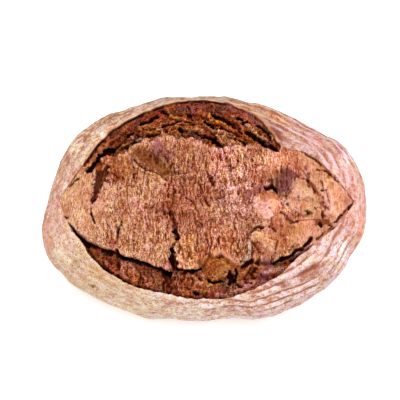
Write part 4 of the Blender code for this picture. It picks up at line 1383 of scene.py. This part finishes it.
def torn_top():
    """Every field of the raster that the mesh reads."""
    fields = relief(*np.meshgrid(*raster_axes()))
    soft = blurred(fields["height"], EDGE_BLUR)
    slope_y, slope_x = np.gradient(soft, RASTER_STEP)
    proud = fields["height"] - soft
    fields["shift_x"] = -OVERHANG * proud * slope_x
    fields["shift_y"] = -OVERHANG * proud * slope_y
    return fields


def sampled(raster, x, y):
    """The raster read at any points, in straight lines between its own."""
    axis_x, axis_y = raster_axes()
    column = np.clip((x - axis_x[0]) / RASTER_STEP, 0, len(axis_x) - 1.001)
    row = np.clip((y - axis_y[0]) / RASTER_STEP, 0, len(axis_y) - 1.001)
    left = column.astype(int)
    low = row.astype(int)
    right_share = column - left
    high_share = row - low
    front = raster[low, left] * (1 - right_share) + raster[low, left + 1] * right_share
    back = raster[low + 1, left] * (1 - right_share) + raster[low + 1, left + 1] * right_share
    return front * (1 - high_share) + back * high_share


def cap_grid():
    """A square grid bent into a disc: angle and share of the way out, for each of its points."""
    a, b = np.meshgrid(*(np.linspace(-1, 1, cells + 1) for cells in CAP_CELLS))
    sideways = np.abs(a) >= np.abs(b)
    major = np.where(sideways, a, b)
    ratio = np.where(sideways, b, a) / np.where(major == 0, 1, major)
    angle = np.where(sideways, ratio * math.pi / 4, math.pi / 2 - ratio * math.pi / 4)
    angle = angle + np.where(major < 0, math.pi, 0)
    return angle, np.abs(major) * CAP_SHARE


def meridian():
    """Shares of the outline from the top's middle to the widest height, and the length walked from there."""
    turn = np.linspace(0, math.pi / 2, MERIDIAN_STEPS)
    share = np.sin(turn) ** (2 / DOME_POWER)
    run = np.hypot(np.diff(share) * HALF_WIDTH, np.diff(dome(share)))
    return share, np.concatenate([[0], np.cumsum(run)])


def side_profile():
    """Rows from the cap's edge down to the base: share of the outline, inset, and height."""
    share, length = meridian()
    start = np.interp(CAP_SHARE, share, length)
    upper = np.interp(np.linspace(start, length[-1], SIDE_ROWS + 1)[1:], length, share)
    foot_turn = np.linspace(0, math.asin(WIDEST_Z / FOOT_DEPTH), FOOT_ROWS + 1)[1:]
    inset = FOOT_WIDTH * (1 - np.cos(foot_turn))
    low = WIDEST_Z - FOOT_DEPTH * np.sin(foot_turn)
    low[-1] = 0.0
    rows = [(value, 0.0, z) for value, z in zip(upper, dome(upper))]
    return rows + [(1.0, value, z) for value, z in zip(inset, low)]


def rows_of(*corners):
    """Triangles whose first, second and third corners are given as arrays."""
    return np.column_stack([corner.ravel() for corner in corners])


def stitched(high, low):
    """Triangles between a ring of points and the ring below it, which has as many points or half as many."""
    after = np.roll(low, -1)
    if len(high) == len(low):
        beside = np.roll(high, -1)
        return np.concatenate([rows_of(high, low, beside), rows_of(beside, low, after)])
    first, middle = high[::2], high[1::2]
    last = np.roll(first, -1)
    corners = ((first, low, middle), (middle, low, after), (middle, after, last))
    return np.concatenate([rows_of(*three) for three in corners])


def loaf_points():
    """Angle, share of the outline, inset and height of every point, and the triangles between the points."""
    angle, share = cap_grid()
    count = angle.size
    index = np.arange(count).reshape(angle.shape)
    corner, right, far, up = index[:-1, :-1], index[:-1, 1:], index[1:, 1:], index[1:, :-1]
    triangles = [rows_of(corner, right, far), rows_of(corner, far, up)]
    columns = [[angle.ravel()], [share.ravel()], [np.zeros(count)], [dome(share.ravel())]]
    ring = np.concatenate([index[0, :-1], index[:-1, -1], index[-1, :0:-1], index[:0:-1, 0]])
    ring_angle = angle.ravel()[ring]
    for row in side_profile():
        if len(ring_angle) > SIDE_AROUND:
            ring_angle = ring_angle[::2]
        low = count + np.arange(len(ring_angle))
        triangles.append(stitched(ring, low))
        for column, value in zip(columns, (ring_angle, *row)):
            column.append(np.broadcast_to(value, ring_angle.shape))
        ring = low
        count += len(low)
    for column in columns:
        column.append(np.zeros(1))
    triangles.append(rows_of(ring, np.full(len(ring), count), np.roll(ring, -1)))
    return [np.concatenate(column) for column in columns], np.concatenate(triangles)


def normals_of(points, triangles):
    """The direction outwards at each point."""
    corners = points[triangles]
    across = np.cross(corners[:, 1] - corners[:, 0], corners[:, 2] - corners[:, 0])
    total = np.zeros(points.shape)
    for axis, corner in itertools.product(range(3), repeat=2):
        total[:, axis] += np.bincount(triangles[:, corner], across[:, axis], len(points))
    return total / np.maximum(np.linalg.norm(total, axis=1, keepdims=True), 1e-12)


def zone_values(angle):
    """What the crust is like in each direction: the zones' amounts, and red, green and blue."""
    weights = 0.0
    totals = np.zeros((len(angle), len(CRUST_ZONES[0])))
    for direction, spread, *amounts, ground in CRUST_ZONES:
        weight = bell(turned_from(direction, angle), spread)
        weights = weights + weight
        totals += weight[:, None] * np.concatenate([amounts, linear(ground)])
    return (totals / weights[:, None]).T


def crust_ground(colour, x, y, surface):
    """The crust's colour with its patches."""
    wobble = layer("crust spots", x, y)
    for *place, strength, patch in CRUST_TINTS:
        near = spot(*on_surface(place, surface), x, y, CRUST_TINT_EDGE, wobble)
        colour = blend(colour, patch, strength * near)
    return colour


def ring_phase(share, x, y, z):
    """How many of the basket's rings lie above each point of the crust."""
    walked = np.interp(share, *meridian()) + np.where(share >= 1, WIDEST_Z - z, 0)
    return walked / RING_PITCH + layer("rings wide", x, y, z) + layer("rings narrow", x, y, z)


def crust_height(ringed, dash, phase, x, y, z):
    """How far the crust stands out, with its swells, its grain and the basket's rings."""
    crust = layer("crust swell", x, y, z) + layer("crust lumps", x, y, z) + layer("crust grain", x, y, z)
    crust = crust + RING_HEIGHT * ringed * dash * np.cos(2 * math.pi * phase)
    return crust * smooth(*BASE_RAMP, z)


def loaf_mesh():
    """The loaf's mesh at full resolution, with what its material reads stored at its points."""
    (angle, share, inset, z), triangles = loaf_points()
    radius = outline(angle) * share - inset
    radius[-1] = 0.0
    x = radius * np.cos(angle)
    y = radius * np.sin(angle)
    fields = torn_top()
    read = SimpleNamespace(**{name: sampled(raster, x, y) for name, raster in fields.items()})
    fade = (1 - smooth(*TORN_SHARES, share)) * (z > WIDEST_Z)
    torn = read.torn * fade

    ringed, beaded, mottled, toasted, specks, rimmed, *ground = zone_values(angle)
    phase = ring_phase(share, x, y, z)
    course = COURSE_RADIUS * np.column_stack([np.cos(angle), np.sin(angle)])
    dash = smooth(*DASH_RAMP, noise(DASH_SEED, *(course / DASH_LENGTH).T, phase))
    crust = crust_height(ringed, dash, phase, x, y, z) * (1 - torn)
    base = np.column_stack([x, y, z])
    points = base + normals_of(base, triangles) * crust[:, None]
    points += np.column_stack([read.shift_x, read.shift_y, read.height]) * fade[:, None]

    values = {
        "torn": torn,
        "coarseness": 1 - EVEN_FINENESS * read.evenness * torn + LOW_COARSENESS * (1 - read.raised),
        "ringed": ringed,
        "beaded": beaded,
        "raised": read.raised,
        "mottled": mottled,
        "toasted": toasted,
        "specks": specks,
        "dash": dash,
        "phase": phase,
        "rim": rimmed * bell(read.from_lip + RIM_OUTSIDE, RIM_WIDTH) * (1 - read.raised) * fade,
    }
    ground = crust_ground(np.column_stack(ground), x, y, fields["surface"])
    whole = np.ones(len(x))
    colours = {
        "tone": np.column_stack([read.red, read.green, read.blue, whole]),
        "ground": np.column_stack([ground, whole]),
        "course": np.column_stack([course * MM, RING_PITCH * MM * phase, whole]),
    }
    return points, triangles, values, colours


def fitted(points):
    """The points moved so that their box shares its middle with the solid's box, and how far they moved."""
    low, high = (np.array(corner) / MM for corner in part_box("loaf"))
    shift = (low + high) / 2 - (points.min(axis=0) + points.max(axis=0)) / 2
    shift[2] = low[2] - points[:, 2].min()
    return points + shift, shift


def make_piece(name, points, normals, triangles, values, colours):
    """One piece of the loaf's surface, with what its material reads stored at its points."""
    used, index = np.unique(triangles, return_inverse=True)
    mesh = bpy.data.meshes.new(name)
    mesh.vertices.add(len(used))
    mesh.vertices.foreach_set("co", (points[used] * MM).astype(np.float32).ravel())
    mesh.loops.add(index.size)
    mesh.loops.foreach_set("vertex_index", index.astype(np.int32).ravel())
    mesh.polygons.add(len(triangles))
    mesh.polygons.foreach_set("loop_start", np.arange(0, index.size, 3, dtype=np.int32))
    mesh.update(calc_edges=True)
    for label, value in values.items():
        layer = mesh.attributes.new(label, "FLOAT", "POINT")
        layer.data.foreach_set("value", value[used].astype(np.float32))
    for label, value in colours.items():
        layer = mesh.attributes.new(label, "FLOAT_COLOR", "POINT")
        layer.data.foreach_set("color", value[used].astype(np.float32).ravel())
    mesh.shade_smooth()
    mesh.normals_split_custom_set_from_vertices(normals[used])
    piece = bpy.data.objects.new(name, mesh)
    bpy.context.collection.objects.link(piece)
    return piece


def make_loaf():
    """The loaf's pieces, whose edges meet point for point, and how far its form moved to fit the solid."""
    points, triangles, values, colours = loaf_mesh()
    points, shift = fitted(points)
    normals = normals_of(points, triangles)
    is_torn = values["torn"][triangles].mean(axis=1) > 0.5
    is_low = triangles.max(axis=1) >= (CAP_CELLS[0] + 1) * (CAP_CELLS[1] + 1)
    is_back = points[triangles, 1].mean(axis=1) > 0
    parts = {
        "torn_back": is_torn & is_back,
        "torn_front": is_torn & ~is_back,
        "upper_crust": ~is_torn & ~is_low,
        "lower_crust": ~is_torn & is_low,
    }
    pieces = []
    for name, chosen in parts.items():
        pieces.append(make_piece(name, points, normals, triangles[chosen], values, colours))
    return pieces, shift


class Graph:
    """A short way to write a material's nodes."""

    def __init__(self, material):
        material.use_nodes = True
        self.tree = material.node_tree
        self.shader = self.tree.nodes["Principled BSDF"]

    def node(self, kind, **settings):
        made = self.tree.nodes.new(kind)
        for name, value in settings.items():
            setattr(made, name, value)
        return made

    def feed(self, socket, value):
        if isinstance(value, bpy.types.NodeSocket):
            self.tree.links.new(value, socket)
        else:
            socket.default_value = value

    def value(self, name):
        return self.node("ShaderNodeAttribute", attribute_name=name).outputs["Fac"]

    def colour(self, name):
        return self.node("ShaderNodeAttribute", attribute_name=name).outputs["Color"]

    def fed(self, made, *inputs):
        """The first output of a node whose first inputs are fed in turn."""
        for socket, value in zip(made.inputs, inputs):
            self.feed(socket, value)
        return made.outputs[0]

    def math(self, operation, *inputs):
        return self.fed(self.node("ShaderNodeMath", operation=operation), *inputs)

    def vector(self, operation, *inputs):
        return self.fed(self.node("ShaderNodeVectorMath", operation=operation), *inputs)

    def times(self, first, second):
        return self.math("MULTIPLY", first, second)

    def plus(self, first, second):
        return self.math("ADD", first, second)

    def minus(self, first, second):
        return self.math("SUBTRACT", first, second)

    def around(self, middle, value, strength):
        """The value's distance from the middle times the strength, on top of the middle."""
        return self.math("MULTIPLY_ADD", self.minus(value, middle), strength, middle)

    def noise(self, name, vector=None):
        """One of the named textures, on the object's own coordinates unless a vector is given."""
        size, detail, roughness, scale = TEXTURES[name]
        moved = self.node("ShaderNodeMapping")
        self.feed(moved.inputs["Vector"], vector or self.node("ShaderNodeTexCoord").outputs["Object"])
        moved.inputs["Scale"].default_value = scale
        made = self.node("ShaderNodeTexNoise")
        self.feed(made.inputs["Vector"], moved.outputs[0])
        made.inputs["Scale"].default_value = 1 / (size * MM)
        made.inputs["Detail"].default_value = detail
        made.inputs["Roughness"].default_value = roughness
        return made.outputs["Fac"]

    def span(self, value, low, high, to_low=0.0, to_high=1.0):
        made = self.node("ShaderNodeMapRange", interpolation_type="SMOOTHSTEP")
        self.fed(made, value, low, high, to_low, to_high)
        return made.outputs["Result"]

    def mix(self, share, first, second):
        """The first colour turned towards the second by a share."""
        made = self.node("ShaderNodeMix", data_type="RGBA")
        self.feed(made.inputs[0], share)
        for socket, value in zip((made.inputs[6], made.inputs[7]), (first, second)):
            self.feed(socket, value if isinstance(value, bpy.types.NodeSocket) else (*linear(value), 1))
        return made.outputs[2]

    def varied(self, colour, value, slopes):
        """The colour times 1 plus slopes times how far the value lies from one half."""
        factor = self.vector("MULTIPLY_ADD", value, slopes, [1 - slope / 2 for slope in slopes])
        return self.vector("MULTIPLY", colour, factor)

    def shades(self, colour, value, steps):
        """The colour times the factors that the steps give for this value, rising to the last step's."""
        peak = np.array(steps[-1][1])
        stops = [(place, np.array(factors) / peak) for place, factors in steps]
        brightest = self.vector("MULTIPLY", colour, peak)
        return self.vector("MULTIPLY", brightest, self.ramp(value, stops))

    def ramp(self, value, stops):
        made = self.node("ShaderNodeValToRGB")
        elements = made.color_ramp.elements
        while len(elements) < len(stops):
            elements.new(0.5)
        for element, (place, colour) in zip(elements, stops):
            element.position = place
            element.color = (*colour, 1)
        self.feed(made.inputs[0], value)
        return made.outputs["Color"]


def crumb_colour(graph, fibre, speck):
    """The torn crumb's colour: its stored tone with fine fibres, furrows and changes of hue."""
    raised = graph.value("raised")
    coarseness = graph.value("coarseness")
    fine = graph.plus(graph.times(fibre, FIBRE_SHARE), graph.times(graph.noise("dots"), 1 - FIBRE_SHARE))
    fine = graph.plus(graph.times(graph.minus(fine, speck), raised), speck)
    fine = graph.around(GRAIN_MIDDLE, fine, coarseness)
    furrow = graph.math("ABSOLUTE", graph.minus(graph.noise("strands"), 0.5))
    furrow = graph.span(furrow, *FURROW_SPAN)
    fine = graph.minus(fine, graph.times(graph.times(furrow, coarseness), raised))
    grain = [(place, np.exp(light * TONE_SLOPES)) for place, light in CRUMB_GRAIN]
    crumb = graph.shades(graph.colour("tone"), fine, grain)
    for name, slopes in CRUMB_HUES:
        hue = graph.around(0.5, graph.noise(name), coarseness)
        crumb = graph.varied(crumb, hue, slopes)
    return crumb


def ring_stripes(graph):
    """The flour that the basket's rings left: thin dashed lines, or broad ones where it runs together."""
    wave = graph.math("COSINE", graph.times(graph.value("phase"), 2 * math.pi))
    dash = graph.span(graph.value("dash"), 0.0, 1.0, *DASH_LIGHT)
    thin = graph.times(graph.span(wave, *THIN_STRIPE), dash)
    broad = graph.times(graph.span(wave, *BROAD_STRIPE), graph.span(dash, *DASH_LIGHT, *BROAD_DASH))
    share = graph.value("beaded")
    stripe = graph.times(thin, graph.minus(1.0, share))
    return graph.times(graph.math("MULTIPLY_ADD", broad, share, stripe), graph.value("ringed"))


def crust_colour(graph, speck):
    """The floured crust's colour: rings, mottling, toasted parts, dark pits and a pale rim at the lips."""
    patch = graph.noise("patches")
    medium = graph.noise("clumps")
    streak = graph.noise("streaks", graph.colour("course"))
    mottling = 0.0
    for value, (edge, amount) in zip((streak, medium, patch, speck), MOTTLES):
        mottling = graph.plus(graph.span(value, 0.5 - edge, 0.5 + edge, -amount, amount), mottling)
    level = graph.plus(ring_stripes(graph), 0.5)
    level = graph.math("MULTIPLY_ADD", mottling, graph.value("mottled"), level)
    toast = graph.times(graph.value("toasted"), graph.span(patch, *TOAST_SPAN))
    level = graph.math("MULTIPLY_ADD", toast, -TOAST_DARK, level)
    crust = graph.shades(graph.colour("ground"), level, CRUST_SHADES)
    crust = graph.varied(crust, graph.noise("crust hue"), CRUST_HUE)
    pitted = graph.times(graph.span(speck, *SPECK_SPAN), graph.value("specks"))
    crust = graph.mix(pitted, crust, SPECK)
    return graph.mix(graph.times(graph.value("rim"), RIM_SHARE), crust, RIM)


def bread_material():
    """Floured crust and torn crumb in one material, told apart by what is stored at the mesh's points."""
    material = bpy.data.materials.new("bread")
    graph = Graph(material)
    fibre = graph.noise("fibres")
    speck = graph.noise("specks")
    crumb = crumb_colour(graph, fibre, speck)
    crust = crust_colour(graph, speck)
    shader = graph.shader.inputs
    graph.feed(shader["Base Color"], graph.mix(graph.span(graph.value("torn"), *TORN_SPAN), crust, crumb))
    graph.feed(shader["Roughness"], graph.span(fibre, *ROUGHNESS_SPAN))
    shader["Specular IOR Level"].default_value = SHINE

    bump = graph.node("ShaderNodeBump")
    bump.inputs["Strength"].default_value = BUMP_STRENGTH
    bump.inputs["Distance"].default_value = BUMP_HEIGHT * MM
    grain = graph.plus(graph.times(fibre, graph.value("torn")), graph.times(speck, SPECK_BUMP))
    graph.feed(bump.inputs["Height"], grain)
    graph.feed(shader["Normal"], bump.outputs["Normal"])
    return material


def make_floor():
    """The pale floor that the loaf stands on."""
    bpy.ops.mesh.primitive_plane_add(size=FLOOR_SIZE)
    floor = bpy.context.object
    floor.name = "floor"
    material = bpy.data.materials.new("pale floor")
    material.use_nodes = True
    shader = material.node_tree.nodes["Principled BSDF"].inputs
    shader["Base Color"].default_value = (*FLOOR_COLOUR, 1)
    shader["Roughness"].default_value = FLOOR_ROUGHNESS
    shader["Emission Color"].default_value = (1, 1, 1, 1)
    shader["Emission Strength"].default_value = FLOOR_GLOW
    floor.data.materials.append(material)


def make_key_light():
    """The large soft light above the loaf."""
    light = bpy.data.lights.new("key", "AREA")
    light.shape = "DISK"
    light.size = KEY_SIZE
    light.energy = KEY_WATTS
    holder = bpy.data.objects.new("key", light)
    holder.location = KEY_PLACE
    holder.rotation_euler = (Vector(KEY_TARGET) - Vector(KEY_PLACE)).to_track_quat("-Z", "Y").to_euler()
    bpy.context.collection.objects.link(holder)


def make_world():
    """Even light from all around."""
    world = bpy.data.worlds.new("studio")
    bpy.context.scene.world = world
    world.use_nodes = True
    background = world.node_tree.nodes["Background"].inputs
    background["Color"].default_value = (1, 1, 1, 1)
    background["Strength"].default_value = WORLD_LIGHT
    bpy.context.scene.view_settings.view_transform = "Standard"


def make_camera(shift):
    """The camera, placed by the photo's angle, looking at the same point of the form as there."""
    elevation = math.radians(CAMERA_ELEVATION)
    target = Vector(np.array(CAMERA_TARGET) + shift)
    back = Vector((0, -math.cos(elevation), math.sin(elevation)))
    data = bpy.data.cameras.new("camera")
    data.lens = CAMERA_LENS
    camera = bpy.data.objects.new("camera", data)
    camera.location = (target + back * CAMERA_DISTANCE) * MM
    camera.rotation_euler = (-back).to_track_quat("-Z", "Y").to_euler()
    bpy.context.collection.objects.link(camera)
    bpy.context.scene.camera = camera


pieces, moved = make_loaf()
bread = bread_material()
for piece in pieces:
    piece.data.materials.append(bread)
    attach(piece, "root")
    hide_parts("loaf")
make_floor()
make_world()
make_key_light()
make_camera(moved)
bpy.context.view_layer.update()
